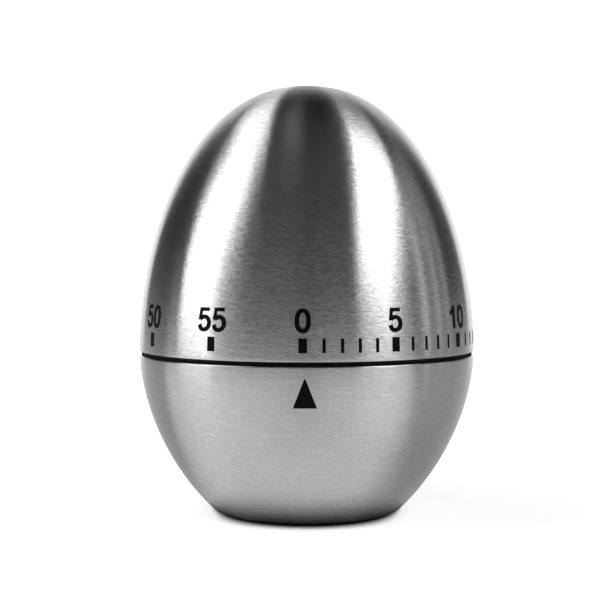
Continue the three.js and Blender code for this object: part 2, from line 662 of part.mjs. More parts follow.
const arborHole = () => circle(ARBOR_RADIUS + FIT);
const arborRunningHole = () => circle(clearOf(ARBOR_RADIUS + RUNNING, ROUND_SEGMENTS));

function ratchetWheel() {
  const pitch = 360 / RATCHET.teeth;
  const { tipRadius, rootRadius } = RATCHET;
  const outline = steps(RATCHET.teeth, (i) => [polar(tipRadius, i * pitch), polar(rootRadius, i * pitch)]).flat();
  return piece("ratchet_wheel", prism(outline, ratchetBottom, ratchetTop, [arborHole()]), HARD_STEEL);
}

function strikeCam() {
  const half = CAM.notchAngle / 2;
  const middle = bearing(CENTRE, detentNose());
  const outline = [
    ...steps(25, (i) => polar(CAM.radius, middle + half + ((360 - CAM.notchAngle) * i) / 24)),
    ...steps(5, (i) => polar(CAM.radius - CAM.notchDepth, middle - half + (CAM.notchAngle * i) / 4)),
  ];
  return piece("strike_cam", prism(outline, thirdWheelBottom, thirdWheelBottom + CAM.thickness, [arborHole()]), BRASS);
}

// ---------------------------------------------------------------- time train

function mainWheel() {
  const outline = wheelOutline(firstMesh);
  const stud = polar(CLICK.orbit, CLICK.leadAngle);
  const anchor = polar(CLICK.orbit, CLICK.leadAngle + CLICK_SPRING.anchorAngle);
  const holes = [
    arborRunningHole(),
    circle(STUD.radius + FIT, PIN_SEGMENTS, stud),
    circle(STUD.radius + FIT, PIN_SEGMENTS, anchor),
  ];
  return piece("main_wheel", prism(outline, mainWheelBottom, mainWheelTop, holes), BRASS);
}

// The click's nose rests against a tooth of the ratchet and lifts away about its stud.
function click() {
  const stud = polar(CLICK.orbit, CLICK.leadAngle);
  const { noseAngle, heelAngle, noseDepth, noseHeight } = CLICK;
  const heel = polar(RATCHET.tipRadius + CLICK.halfWidth + TOUCH, heelAngle);
  const nose = [
    polar(RATCHET.tipRadius + noseHeight, noseAngle), polar(RATCHET.rootRadius + TOUCH, noseAngle),
    polar(RATCHET.rootRadius + noseDepth, (noseAngle + heelAngle) / 2), heel,
  ];
  const low = ratchetBottom;
  const body = join(
    prism(link(stud, heel, CLICK.halfWidth), low, ratchetTop),
    prism([...nose].reverse(), low, ratchetTop),
    rod(STUD.headRadius, low, ratchetTop, PIN_SEGMENTS, stud),
  );
  const hole = rod(clearOf(STUD.radius + RUNNING, PIN_SEGMENTS), low - 1, ratchetTop + 1, PIN_SEGMENTS, stud);
  return piece("click", cut(body, hole), HARD_STEEL);
}

// Click stud and spring anchor: pins riveted into the main wheel.
function clickStud() {
  const geometry = rod(STUD.radius, mainWheelBottom, ratchetTop + FIT);
  return piece("click_stud", geometry, HARD_STEEL, polar(CLICK.orbit, CLICK.leadAngle));
}

function clickSpring() {
  const anchor = polar(CLICK.orbit, CLICK.leadAngle + CLICK_SPRING.anchorAngle);
  const tip = polar(CLICK.orbit + CLICK_SPRING.tipOffset, CLICK.leadAngle + CLICK_SPRING.tipAngle);
  const low = ratchetBottom + FIT;
  const blade = prism(link(anchor, tip, SPRING_STRIP / 2, 2), low, ratchetTop);
  const foot = rod(STUD.radius, mainWheelBottom, ratchetTop, PIN_SEGMENTS, anchor);
  return piece("click_spring", join(blade, foot), SPRING_STEEL);
}

function pinionHeights(wheelBottom) {
  return { low: wheelBottom - PINION_OVERLAP, high: wheelBottom + WHEEL_THICKNESS + PINION_OVERLAP };
}

function neckRadiusOf({ leaves, module }) {
  return (module * leaves) / 2 - LEAF.dedendum * module + FIT;
}

function trainWheel(name, wheelMesh, wheelBottom, pinionMesh, drivenFrom, at, turn) {
  const wheel = { outline: wheelOutline(wheelMesh), low: wheelBottom, high: wheelBottom + WHEEL_THICKNESS };
  const pinion = { outline: pinionOutline(pinionMesh), ...pinionHeights(drivenFrom) };
  return piece(name, wheelWithPinion(wheel, pinion, neckRadiusOf(pinionMesh)), WHITE_ACETAL, at, turn);
}

function escapeWheel() {
  const half = 0.05; // half-width of a tooth's tip, in radians
  const { tipRadius, rootRadius } = ESCAPE;
  const corners = [[rootRadius, -0.12], [tipRadius, -half], [tipRadius, half], [rootRadius, 0.16]];
  const wheel = {
    outline: toothed(ESCAPE.teeth, corners),
    low: secondWheelBottom,
    high: secondWheelTop,
  };
  const pinion = { outline: pinionOutline(thirdMesh), ...pinionHeights(thirdWheelBottom) };
  const geometry = wheelWithPinion(wheel, pinion, neckRadiusOf(thirdMesh));
  return piece("escape_wheel", geometry, WHITE_ACETAL, escapeAt, escapeTurn);
}

// A small steel arbor from one plate to the other.
function pinArbor(name, at, low = lowerPlate + 2 * FIT) {
  return piece(name, rod(PIN_RADIUS, low, upperPlateTop - 2 * FIT), HARD_STEEL, at);
}

function balance() {
  const { swing, thickness, armLength, pinRadius, beamReach, weightRadius } = BALANCE;
  const toward = bearing(balanceAt, escapeAt);
  const low = thirdWheelBottom;
  const high = low + thickness;
  const ends = [-1, 1].map((side) => polar(beamReach, toward + 90 * side));
  const angle = palletAngle(balanceReach, armLength, pinRadius, ESCAPE.tipRadius, swing);
  const pins = palletPlaces(balanceAt, escapeAt, armLength, angle);
  const arms = pins.map((at) => prism(link(CENTRE, at, LEVER_HALF_WIDTH), low, high));
  const beam = prism(link(...ends, LEVER_HALF_WIDTH), low, high);
  const weights = ends.map((at) => rod(weightRadius, low, high, SMALL_SEGMENTS, at));
  const hub = rod(PIN_HUB_RADIUS, low, high);
  const hole = rod(PIN_RADIUS + FIT, low - 1, high + 1);
  const pinHoles = pins.map((at) => rod(pinRadius + FIT, low - 1, high + 1, PIN_SEGMENTS, at));
  const body = cut(join(beam, hub, ...arms, ...weights), hole, ...pinHoles);
  const palletPins = pins.map(([x, y], i) =>
    piece(`pallet_pin_${i + 1}`, rod(pinRadius, secondWheelBottom - GAP / 2, high), HARD_STEEL,
      [balanceAt[0] + x, balanceAt[1] + y]));
  return [piece("balance", body, BRASS, balanceAt), ...palletPins];
}

// ---------------------------------------------------------------- strike train and bell

const barrelRadius = (strikeMesh.module * strikeMesh.teeth) / 2 - BARREL.inset;

function strikeBarrel() {
  const floorTop = barrelBottom + BARREL.floorThickness;
  const floor = prism(wheelOutline(strikeMesh), barrelBottom, floorTop, [arborRunningHole()]);
  const wall = turned([
    [barrelRadius - BARREL.wallThickness, floorTop - FIT], [barrelRadius, floorTop - FIT],
    [barrelRadius, barrelTop], [barrelRadius - BARREL.wallThickness, barrelTop],
  ], 24);
  return piece("strike_barrel", join(floor, wall), BRASS);
}

function mainspring() {
  const { turns, thickness, height } = MAINSPRING;
  const inner = ARBOR_RADIUS + GAP + thickness;
  const outer = barrelRadius - BARREL.wallThickness - GAP - thickness;
  const perTurn = 16;
  const count = turns * perTurn;
  const at = (i, offset) => polar(inner + ((outer - inner) * i) / count + offset, (360 * i) / perTurn);
  const outline = [
    ...steps(count + 1, (i) => at(i, thickness / 2)),
    ...steps(count + 1, (i) => at(count - i, -thickness / 2)),
  ];
  const low = barrelBottom + BARREL.floorThickness + GAP;
  return piece("mainspring", prism(outline, low, low + height), SPRING_STEEL);
}

function strikeWheel() {
  const corners = [[STAR.rootRadius, -0.16], [STAR.tipRadius, -0.06], [STAR.tipRadius, 0.06], [STAR.rootRadius, 0.16]];
  const wheel = { outline: toothed(STAR.teeth, corners), low: secondWheelBottom, high: secondWheelTop };
  const pinion = {
    outline: pinionOutline(strikeMesh),
    low: barrelBottom,
    high: barrelBottom + BARREL.floorThickness + PINION_OVERLAP,
  };
  const geometry = wheelWithPinion(wheel, pinion, neckRadiusOf(strikeMesh));
  return piece("strike_wheel", geometry, WHITE_ACETAL, strikeAt, strikeTurn);
}

const hammerHeadAt = () => {
  const orbit = BELL_RADIUS - BELL_WALL - HAMMER.headRadius - TOUCH - hammerThrow();
  return polar(orbit, bearing(CENTRE, hammerAt) + HAMMER.leadAngle);
};
const hammerThrow = () => hammerOrbit * Math.sin(radians(HAMMER.leadAngle)) * Math.sin(radians(HAMMER.swing));

function hammer() {
  const { swing, armLength, palletRadius, headRadius, headLength } = HAMMER;
  const angle = palletAngle(hammerReach, armLength, palletRadius, STAR.tipRadius, swing);
  const pallets = palletPlaces(hammerAt, strikeAt, armLength, angle);
  const [low, high] = [secondWheelBottom, secondWheelTop];
  const anchorBody = join(
    ...pallets.map((at) => prism(link(CENTRE, at, palletRadius), low, high)),
    rod(PIN_HUB_RADIUS, low, high),
  );
  const pinHoleAt = (from, to) => rod(PIN_RADIUS + FIT, from - 1, to + 1);
  const anchor = cut(anchorBody, pinHoleAt(low, high));

  const headAt = hammerHeadAt();
  const reach = [headAt[0] - hammerAt[0], headAt[1] - hammerAt[1]];
  const armBody = join(
    prism(link(CENTRE, reach, LEVER_HALF_WIDTH), hammerArmBottom, hammerArmTop),
    rod(PIN_HUB_RADIUS, hammerArmBottom, hammerArmTop),
  );
  const rivetHole = rod(PIN_RADIUS + FIT, hammerArmBottom - 1, hammerArmTop + 1, PIN_SEGMENTS, reach);
  const swungArm = cut(armBody, pinHoleAt(hammerArmBottom, hammerArmTop), rivetHole);

  const headBottom = hammerArmBottom - headLength;
  const headBody = turned([
    [0, headBottom], [0.6 * headRadius, headBottom], [headRadius, headBottom + 0.4 * headRadius],
    [headRadius, hammerArmBottom],
    [PIN_RADIUS, hammerArmBottom], [PIN_RADIUS, hammerArmTop], [0, hammerArmTop],
  ], SMALL_SEGMENTS);
  return [
    piece("hammer_anchor", anchor, HARD_STEEL, hammerAt),
    piece("hammer_arm", swungArm, PLATE_STEEL, hammerAt),
    piece("hammer_head", headBody, BRASS, headAt),
    pinArbor("hammer_arbor", hammerAt, hammerArmBottom),
  ];
}

function bell() {
  const corner = (radius) => steps(3, (i) => {
    const angle = -Math.PI / 2 + (Math.PI / 2) * (i / 2);
    return [
      BELL_RADIUS - BELL_CORNER + radius * Math.cos(angle),
      bellBottom + BELL_CORNER + radius * Math.sin(angle),
    ];
  });
  const holeRadius = BELL_SCREW.shankRadius + GAP;
  const inner = corner(BELL_CORNER - BELL_WALL).reverse();
  const profile = [
    [holeRadius, bellBottom],
    ...corner(BELL_CORNER),
    [BELL_RADIUS, bellRim],
    [BELL_RADIUS - BELL_WALL, bellRim],
    ...inner,
    [holeRadius, bellFloorTop],
  ];
  return piece("bell", turned(profile, 28), BELL_STEEL);
}

function bellPost() {
  const threadTop = bellFloorTop + BELL_SCREW.length;
  const bearingRadius = clearOf(ARBOR_PIVOT_RADIUS + RUNNING, ROUND_SEGMENTS);
  const bearingBottom = lowerPlateTop - ARBOR_PIVOT_LENGTH - GAP;
  const profile = [
    [0, threadTop], [BELL_SCREW.shankRadius + FIT, threadTop], [BELL_SCREW.shankRadius + FIT, bellFloorTop],
    [BELL_POST_RADIUS, bellFloorTop], [BELL_POST_RADIUS, lowerPlate], [BELL_POST_SPIGOT, lowerPlate],
    [BELL_POST_SPIGOT, lowerPlateTop], [bearingRadius, lowerPlateTop], [bearingRadius, bearingBottom],
    [0, bearingBottom],
  ];
  return piece("bell_post", turned(profile), HARD_STEEL);
}

function bellScrew() {
  const geometry = screwGeometry(BELL_SCREW).rotateX(Math.PI).translate(0, 0, bellBottom - FIT);
  return piece("bell_screw", geometry, HARD_STEEL);
}

// ---------------------------------------------------------------- detent that frees the strike train

// The nose rides on the cam at a right angle to its arm, so that it drops straight into the notch.
function detentNose(standOff = 0) {
  const orbit = CAM.radius + DETENT.noseRadius + TOUCH;
  const offset = THREE.MathUtils.radToDeg(Math.acos(orbit / DETENT.orbit));
  return polar(orbit + standOff, DETENT.azimuth + offset);
}

// The tab stands just outside the star wheel's teeth.
function detentTab() {
  const clear = STAR.tipRadius + DETENT.tabRadius + TOUCH;
  const reach = distance(detentAt, strikeAt);
  const cosine = (reach ** 2 + DETENT.armLength ** 2 - clear ** 2) / (2 * reach * DETENT.armLength);
  const [x, y] = polar(DETENT.armLength, bearing(detentAt, strikeAt) + THREE.MathUtils.radToDeg(Math.acos(cosine)));
  return [detentAt[0] + x, detentAt[1] + y];
}

// The tail, opposite the nose, is what the spring presses on its side.
function detentTail(besideIt = 0) {
  const along = bearing(detentNose(), detentAt);
  const [x, y] = polar(DETENT.tailLength, along);
  const [u, v] = polar(besideIt, along - 90);
  return [detentAt[0] + x + u, detentAt[1] + y + v];
}

const detentLow = () => thirdWheelBottom;
const detentHigh = () => thirdWheelBottom + DETENT.thickness;

function detentLever() {
  const [low, high] = [detentLow(), detentHigh()];
  const body = join(
    prism(link(detentTail(), detentAt, LEVER_HALF_WIDTH), low, high),
    prism(link(detentAt, detentNose(DETENT.beakLength), LEVER_HALF_WIDTH), low, high),
    prism(link(detentNose(DETENT.beakLength), detentNose(), DETENT.noseRadius), low, high),
    prism(link(detentAt, detentTab(), LEVER_HALF_WIDTH), low, high),
    rod(DETENT.hubRadius, low, high, SMALL_SEGMENTS, detentAt),
    rod(DETENT.tabRadius, secondWheelBottom, low + FIT, PIN_SEGMENTS, detentTab()),
  );
  const hole = rod(clearOf(STUD.radius + RUNNING, PIN_SEGMENTS), low - 1, high + 1, PIN_SEGMENTS, detentAt);
  return piece("detent_lever", cut(body, hole), PLATE_STEEL);
}

function detentStud() {
  const low = detentLow() - STUD.headHeight - FIT;
  return piece("detent_stud", studGeometry(low, upperPlateTop - 2 * FIT), HARD_STEEL, detentAt);
}

const detentSpringPost = () => polar(DETENT_SPRING.orbit, DETENT_SPRING.azimuth);

function detentSpring() {
  const post = detentSpringPost();
  const low = detentLow() + FIT;
  const tip = detentTail(LEVER_HALF_WIDTH + SPRING_STRIP / 2 + GAP);
  const blade = prism(link(post, tip, SPRING_STRIP / 2, 2), low, detentHigh());
  const foot = rod(STUD.radius, low, upperPlateTop - 2 * FIT, PIN_SEGMENTS, post);
  return piece("detent_spring", join(blade, foot), SPRING_STEEL);
}

// ---------------------------------------------------------------- plates and pillars

const smallArborsAt = [secondAt, thirdAt, escapeAt, balanceAt, strikeAt, hammerAt];
const pivotHole = (at) => circle(clearOf(PIN_RADIUS + RUNNING, PIN_SEGMENTS), PIN_SEGMENTS, at);
const pillarHole = (azimuth) => circle(PILLAR.spigotRadius + FIT, PIN_SEGMENTS, polar(pillarOrbit, azimuth));

function lowerPlatePiece() {
  const holes = [
    circle(BELL_POST_SPIGOT + FIT),
    ...smallArborsAt.map(pivotHole),
    ...PILLAR_AZIMUTHS.map(pillarHole),
  ];
  const disc = prism(circle(plateRadius, SHELL_SEGMENTS), lowerPlate, lowerPlateTop, holes);
  return piece("lower_plate", disc, PLATE_STEEL);
}

function upperPlatePiece() {
  const disc = prism(circle(plateRadius, SHELL_SEGMENTS), upperPlate, upperPlateTop);
  const ears = SCREW_AZIMUTHS.map((azimuth) => {
    const root = polar(plateRadius - EAR_RADIUS, azimuth);
    return prism(tongue(polar(screwOrbit, azimuth), root, EAR_RADIUS), upperPlate, upperPlateTop);
  });
  const through = (radius, at, segments = PIN_SEGMENTS) => rod(radius, upperPlate - 1, upperPlateTop + 1, segments, at);
  const pinRunning = clearOf(PIN_RADIUS + RUNNING, PIN_SEGMENTS);
  const holes = [
    through(BUSH.radius + FIT, CENTRE, ROUND_SEGMENTS),
    ...smallArborsAt.map((at) => through(pinRunning, at)),
    ...PILLAR_AZIMUTHS.map((azimuth) => through(PILLAR.spigotRadius + FIT, polar(pillarOrbit, azimuth))),
    ...SCREW_AZIMUTHS.map((azimuth) => through(MOVEMENT_SCREWS.shankRadius + 4 * FIT, polar(screwOrbit, azimuth))),
    ...[detentAt, detentSpringPost()].map((at) => through(clearOf(STUD.radius + FIT, PIN_SEGMENTS), at)),
    through(STOP_PIN_RADIUS + FIT, polar(STOP_ORBIT, STOP_PIN_AZIMUTH)),
  ];
  return piece("upper_plate", cut(join(disc, ...ears), ...holes), PLATE_STEEL);
}

function pillars() {
  return PILLAR_AZIMUTHS.map((azimuth, i) => {
    const geometry = turned([
      [0, lowerPlate], [PILLAR.spigotRadius, lowerPlate], [PILLAR.spigotRadius, lowerPlateTop],
      [PILLAR.radius, lowerPlateTop], [PILLAR.radius, upperPlate], [PILLAR.spigotRadius, upperPlate],
      [PILLAR.spigotRadius, upperPlateTop + GAP], [0, upperPlateTop + GAP],
    ], PIN_SEGMENTS);
    return piece(`pillar_${i + 1}`, geometry, HARD_STEEL, polar(pillarOrbit, azimuth));
  });
}

function upperBush() {
  const bore = clearOf(ARBOR_RADIUS + RUNNING, ROUND_SEGMENTS);
  const profile = [
    [bore, upperPlate], [BUSH.radius, upperPlate], [BUSH.radius, upperPlateTop],
    [BUSH.flangeRadius, upperPlateTop], [BUSH.flangeRadius, bushTop], [bore, bushTop],
  ];
  return piece("upper_bush", turned(profile), BRASS);
}

function stopPin() {
  const geometry = rod(STOP_PIN_RADIUS, upperPlate + FIT, webBottom - 2 * GAP);
  return piece("stop_pin", geometry, HARD_STEEL, polar(STOP_ORBIT, STOP_PIN_AZIMUTH));
}

// ---------------------------------------------------------------- assembly

const casing = assembly(baseShell(), baseHousing(), bottomCover(), ...coverScrews(), ...movementScrews());
const frame = assembly(
  lowerPlatePiece(), upperPlatePiece(), ...pillars(), upperBush(), stopPin(), detentStud(), detentSpring(),
);
const bellSet = assembly(bell(), bellPost(), bellScrew());
const dial = assembly(domeShell(), dialCarrier(), arbor(), arborClip(), ratchetWheel(), strikeCam());
const timeTrain = assembly(
  mainWheel(), click(), clickStud(), clickSpring(),
  trainWheel("second_wheel", secondMesh, secondWheelBottom, firstMesh, mainWheelBottom, secondAt, secondTurn),
  trainWheel("third_wheel", thirdMesh, thirdWheelBottom, secondMesh, secondWheelBottom, thirdAt, thirdTurn),
  escapeWheel(), ...balance(),
  pinArbor("second_arbor", secondAt), pinArbor("third_arbor", thirdAt),
  pinArbor("escape_arbor", escapeAt), pinArbor("balance_staff", balanceAt),
);
const strikeTrain = assembly(
  strikeBarrel(), mainspring(), strikeWheel(), pinArbor("strike_arbor", strikeAt), ...hammer(), detentLever(),
);

export default assembly(casing, frame, bellSet, dial, timeTrain, strikeTrain);
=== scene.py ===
import json
import math

import bmesh
import bpy
import numpy as np
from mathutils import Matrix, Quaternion, Vector
from mathutils.geometry import delaunay_2d_cdt


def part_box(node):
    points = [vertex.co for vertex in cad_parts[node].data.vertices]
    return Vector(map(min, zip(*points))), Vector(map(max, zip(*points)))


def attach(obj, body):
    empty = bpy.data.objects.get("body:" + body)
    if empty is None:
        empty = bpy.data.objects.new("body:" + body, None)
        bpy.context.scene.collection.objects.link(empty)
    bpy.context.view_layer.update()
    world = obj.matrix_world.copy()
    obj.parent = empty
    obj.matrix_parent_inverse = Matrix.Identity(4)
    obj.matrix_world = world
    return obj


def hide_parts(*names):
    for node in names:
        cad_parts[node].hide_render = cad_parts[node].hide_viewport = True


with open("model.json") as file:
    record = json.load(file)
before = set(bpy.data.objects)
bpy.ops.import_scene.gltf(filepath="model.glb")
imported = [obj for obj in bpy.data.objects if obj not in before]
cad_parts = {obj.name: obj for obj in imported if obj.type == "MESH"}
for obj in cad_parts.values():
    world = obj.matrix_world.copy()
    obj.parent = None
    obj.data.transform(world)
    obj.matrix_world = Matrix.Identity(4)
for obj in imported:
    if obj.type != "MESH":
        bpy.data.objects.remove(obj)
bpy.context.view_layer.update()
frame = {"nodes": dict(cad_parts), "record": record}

# Lengths are in millimetres and become metres as they enter a mesh, except in the shaders, the stage and the
# lamps, which are in metres. The pointer faces -Y, azimuths turn from there towards +X, and the table is at
# Z = 0.
MM = 0.001

# ---------------------------------------------------------------- sizes

BODY_RADIUS = 30.0
SEAM_HEIGHT = 28.6
SEAM_WIDTH = 0.72
DOME_HEIGHT = 47.5
DOME_RISE = 1.95
DOME_BULGE = 2.22
BOWL_DEPTH = 36.3
BOWL_BULGE = 1.76
SHELL_WALL = 0.6
ROLL_RADIUS = 0.8
FLANGE_HOLE_RADIUS = 12.8
FOOT_HEIGHT = 0.5
LIP_ROUND = 0.18

RING_DEPTH = 0.9  # the seam ring's inner wall, from the body's radius
RING_RECESS = 0.395
RING_GAP = 0.06  # between the ring and the bowl's lip
RING_RISE = 0.1  # above the middle of the seam
RING_CHAMFER = 0.06

# Points on each curve, and round each turned piece.
LIP_STEPS = 6
ROLL_STEPS = 10
DOME_STEPS = 120
BOWL_STEPS = 90
INNER_ROLL_STEPS = 4
INNER_DOME_STEPS = 48
INNER_BOWL_STEPS = 40
SEGMENTS = 288
SHARP_ANGLE = 35

# ---------------------------------------------------------------- egg curves


def dome_radius(height, inset=0.0):
    """Radius at a height above the seam, on the dome's curve or a little inside it."""
    rise = min(1.0, max(0.0, height) / (DOME_HEIGHT - inset))
    return (BODY_RADIUS - inset) * (1 - rise**DOME_RISE) ** (1 / DOME_BULGE)


def bowl_radius(height, inset=0.0):
    """Radius at a height above the table, on the bowl's curve or a little inside it."""
    drop = max(0.0, SEAM_HEIGHT - height) / (BOWL_DEPTH - inset)
    return (BODY_RADIUS - inset) * (1 - drop**BOWL_BULGE) ** (1 / BOWL_BULGE)


def arc(centre, radius, start, end, count):
    """Points of a circular arc in a plane, angles in radians."""
    angles = (start + (end - start) * i / count for i in range(count + 1))
    return [(centre[0] + radius * math.cos(a), centre[1] + radius * math.sin(a)) for a in angles]


def dome_curve(inset, start, count):
    """The dome's profile from a height above the seam to its top, denser towards the top."""
    top = DOME_HEIGHT - inset
    points = []
    for i in range(count + 1):
        height = start + (top - start) * math.sin(math.pi / 2 * i / count) ** (2 / DOME_RISE)
        points.append((0.0 if i == count else dome_radius(height, inset), SEAM_HEIGHT + height))
    return points


def bowl_curve(inset, start, end, count):
    """The bowl's profile between two heights above the table."""
    heights = (start + (end - start) * i / count for i in range(count + 1))
    return [(bowl_radius(h, inset), h) for h in heights]


def find_roll():
    """Centre of the roll at the bowl's foot, the wall's lean there and the height where they meet."""
    lean, start, step = math.pi / 4, 0.0, 0.1
    for _ in range(8):
        start = FOOT_HEIGHT + ROLL_RADIUS * (1 - math.sin(lean))
        lean = math.atan((bowl_radius(start + step) - bowl_radius(start)) / step)
    centre = (bowl_radius(start) - ROLL_RADIUS * math.cos(lean), FOOT_HEIGHT + ROLL_RADIUS)
    return centre, lean, start


# ---------------------------------------------------------------- mesh helpers


def new_object(name, mesh, material):
    mesh.materials.append(material)
    piece = bpy.data.objects.new(name, mesh)
    bpy.context.scene.collection.objects.link(piece)
    return piece


def finished(name, bm, material, sharp_angle):
    """The object made from a bmesh: smooth, apart from edges sharper than an angle in degrees."""
    bmesh.ops.recalc_face_normals(bm, faces=bm.faces)
    mesh = bpy.data.meshes.new(name)
    bm.to_mesh(mesh)
    bm.free()
    mesh.shade_smooth()
    mesh.set_sharp_from_angle(angle=math.radians(sharp_angle))
    return new_object(name, mesh, material)


def turned(name, profile, material):
    """A solid of revolution. The profile's UV height is the length along it, in metres."""
    bm = bmesh.new()
    uv = bm.loops.layers.uv.new("UVMap")
    lengths = [0.0]
    for (r, z), (s, w) in zip(profile, profile[1:] + profile[:1]):
        lengths.append(lengths[-1] + math.hypot(s - r, w - z) * MM)
    rings = []
    for r, z in profile:
        if r == 0:
            rings.append([bm.verts.new((0, 0, z * MM))] * SEGMENTS)
            continue
        turns = (2 * math.pi * i / SEGMENTS for i in range(SEGMENTS))
        rings.append([bm.verts.new((r * math.sin(t) * MM, -r * math.cos(t) * MM, z * MM)) for t in turns])
    for k in range(len(profile)):
        low, high = rings[k], rings[(k + 1) % len(profile)]
        for i in range(SEGMENTS):
            j = (i + 1) % SEGMENTS
            corners = [(low[i], i, k), (low[j], i + 1, k), (high[j], i + 1, k + 1), (high[i], i, k + 1)]
            corners = [c for n, c in enumerate(corners) if c[0] is not corners[n - 1][0]]
            if len(corners) < 3:  # both rows lie on the axis
                continue
            face = bm.faces.new([c[0] for c in corners])
            for loop, (_, turn, row) in zip(face.loops, corners):
                loop[uv].uv = (turn / SEGMENTS, lengths[row])
    return finished(name, bm, material, SHARP_ANGLE)


# ---------------------------------------------------------------- node helpers


class Nodes:
    """The node tree of a material or a world, with short calls to add and join nodes."""

    def __init__(self, owner, output="OutputMaterial"):
        owner.use_nodes = True
        self.owner = owner
        self.tree = owner.node_tree
        self.tree.nodes.clear()
        self.surface = self.add(output).inputs["Surface"]

    def add(self, kind, settings=None, **inputs):
        """A node with its properties set. An input goes by its name, or by its number as i0, i1 and so on."""
        node = self.tree.nodes.new("ShaderNode" + kind)
        for key, value in (settings or {}).items():
            setattr(node, key, value)
        for key, value in inputs.items():
            numbered = key[0] == "i" and key[1:].isdigit()
            self.feed(node.inputs[int(key[1:]) if numbered else key], value)
        return node

    def feed(self, socket, value):
        if isinstance(value, bpy.types.NodeSocket):
            self.tree.links.new(value, socket)
        else:
            socket.default_value = value

    def maths(self, operation, *values):
        node = self.add("Math", {"operation": operation})
        for socket, value in zip(node.inputs, values):
            self.feed(socket, value)
        return node.outputs[0]

    def combine(self, x, y, z):
        return self.add("CombineXYZ", i0=x, i1=y, i2=z).outputs[0]

    def noise(self, vector, scale=1.0, detail=2.0, roughness=0.5):
        node = self.add("TexNoise", Vector=vector, Scale=scale, Detail=detail, Roughness=roughness)
        return node.outputs["Fac"]

    def ramp(self, value, *stops):
        """A ramp between two greys; each stop is (place, grey)."""
        node = self.add("ValToRGB", Fac=value)
        for element, (place, grey) in zip(node.color_ramp.elements, stops):
            element.position = place
            element.color = (grey, grey, grey, 1)
        return node.outputs["Color"]

    def mix(self, factor, a, b):
        node = self.add("Mix", {"data_type": "RGBA"})
        for index, value in ((0, factor), (6, a), (7, b)):
            if isinstance(value, tuple):
                value = (*value, 1)
            self.feed(node.inputs[index], value)
        return node.outputs[2]

    def remap(self, value, low, high, span=(0.0, 1.0), kind="LINEAR"):
        """From low to high as the value goes over a span, and level outside it."""
        settings = {"interpolation_type": kind}
        return self.add("MapRange", settings, i0=value, i1=span[0], i2=span[1], i3=low, i4=high).outputs[0]

    def rise(self, value, low, high, span):
        """The same, as a smooth step."""
        return self.remap(value, low, high, span, "SMOOTHSTEP")

    def distance(self, value, middle):
        return self.maths("ABSOLUTE", self.maths("SUBTRACT", value, middle))

    def principled(self, settings, bump, **inputs):
        shader = self.add("BsdfPrincipled", **inputs)
        for key, value in settings.items():
            shader.inputs[key].default_value = value
        height, strength, distance = bump
        node = self.add("Bump", Strength=strength, Distance=distance, Height=height)
        self.feed(shader.inputs["Normal"], node.outputs[0])
        self.feed(self.surface, shader.outputs[0])
        return shader


def new_material(name):
    return Nodes(bpy.data.materials.new(name))


# ---------------------------------------------------------------- materials

STEEL = (0.42, 0.42, 0.417)
STEEL_ROUGHNESS = (0.225, 0.26)
DOME_SPREAD = 0.17  # how far the marks are darker or paler than the steel
BOWL_SPREAD = 0.1
BRUSH_SLANT = 0.09  # how far the marks climb along X
BRUSH_BUMP = 0.3
BRUSH_DEPTH = 0.0001  # in metres
# Marks in a millimetre, along the brushing and across it.
FINE_MARKS = (0.9, 3.6)
LONG_MARKS = (0.12, 2.8)
HAIRLINES = (0.25, 6.0)
HAIRLINE_START, HAIRLINE_FULL = 0.64, 0.8
HAIRLINE_STRENGTH, HAIRLINE_GAIN = 0.3, 1.5
GRIT_SCALE = 4200.0
CLOUD_SCALE = 90.0
# How much each layer counts in the steel's tone, which is cut at its limits, and in its bump.
TONE_SHARES = {"fine": 1.7, "grit": 1.1, "long": 0.4, "cloud": 0.4}
TONE_LIMITS = (-0.9, 0.9)
BUMP_SHARES = {"fine": 0.7, "grit": 0.1, "long": 0.2}


def tinted(colour, gain):
    return tuple(min(1.0, c * gain) for c in colour)


def brushed_steel(name, spread):
    """Steel spun and brushed round its axis, with fine marks, longer ones, stray hairlines and grit."""
    n = new_material(name)
    place = n.add("TexCoord").outputs["Object"]
    x, y, _ = n.add("SeparateXYZ", i0=place).outputs
    along = n.add("SeparateXYZ", i0=n.add("TexCoord").outputs["UV"]).outputs[1]
    slanted = n.maths("MULTIPLY_ADD", x, BRUSH_SLANT, along)

    def marks(around, across):
        shares = ((x, around), (y, around), (slanted, across))
        return n.combine(*(n.maths("MULTIPLY", length, share / MM) for length, share in shares))

    layers = {
        "fine": n.noise(marks(*FINE_MARKS), roughness=0.6),
        "long": n.noise(marks(*LONG_MARKS), roughness=0.6),
        "grit": n.noise(place, scale=GRIT_SCALE, detail=1.0),
        "cloud": n.noise(place, scale=CLOUD_SCALE),
    }
    tone = height = 0.0
    for layer, share in TONE_SHARES.items():
        tone = n.maths("ADD", tone, n.remap(layers[layer], -share, share))
    for layer, share in BUMP_SHARES.items():
        height = n.maths("MULTIPLY_ADD", layers[layer], share, height)
    level = n.remap(tone, 0.0, 1.0, TONE_LIMITS)
    colour = n.mix(level, tinted(STEEL, 1 - spread), tinted(STEEL, 1 + spread))
    hair = n.ramp(n.noise(marks(*HAIRLINES), detail=0.0), (HAIRLINE_START, 0.0), (HAIRLINE_FULL, 1.0))
    colour = n.mix(n.maths("MULTIPLY", hair, HAIRLINE_STRENGTH), colour, tinted(STEEL, HAIRLINE_GAIN))
    shader = n.principled(
        {"Metallic": 1.0, "Anisotropic": 1.0, "Anisotropic Rotation": 0.25},
        bump=(height, BRUSH_BUMP, BRUSH_DEPTH),
        **{"Base Color": colour, "Roughness": n.remap(level, *STEEL_ROUGHNESS)},
    )
    tangent = n.add("Tangent", {"direction_type": "RADIAL", "axis": "Z"})
    n.feed(shader.inputs["Tangent"], tangent.outputs[0])
    return n.owner


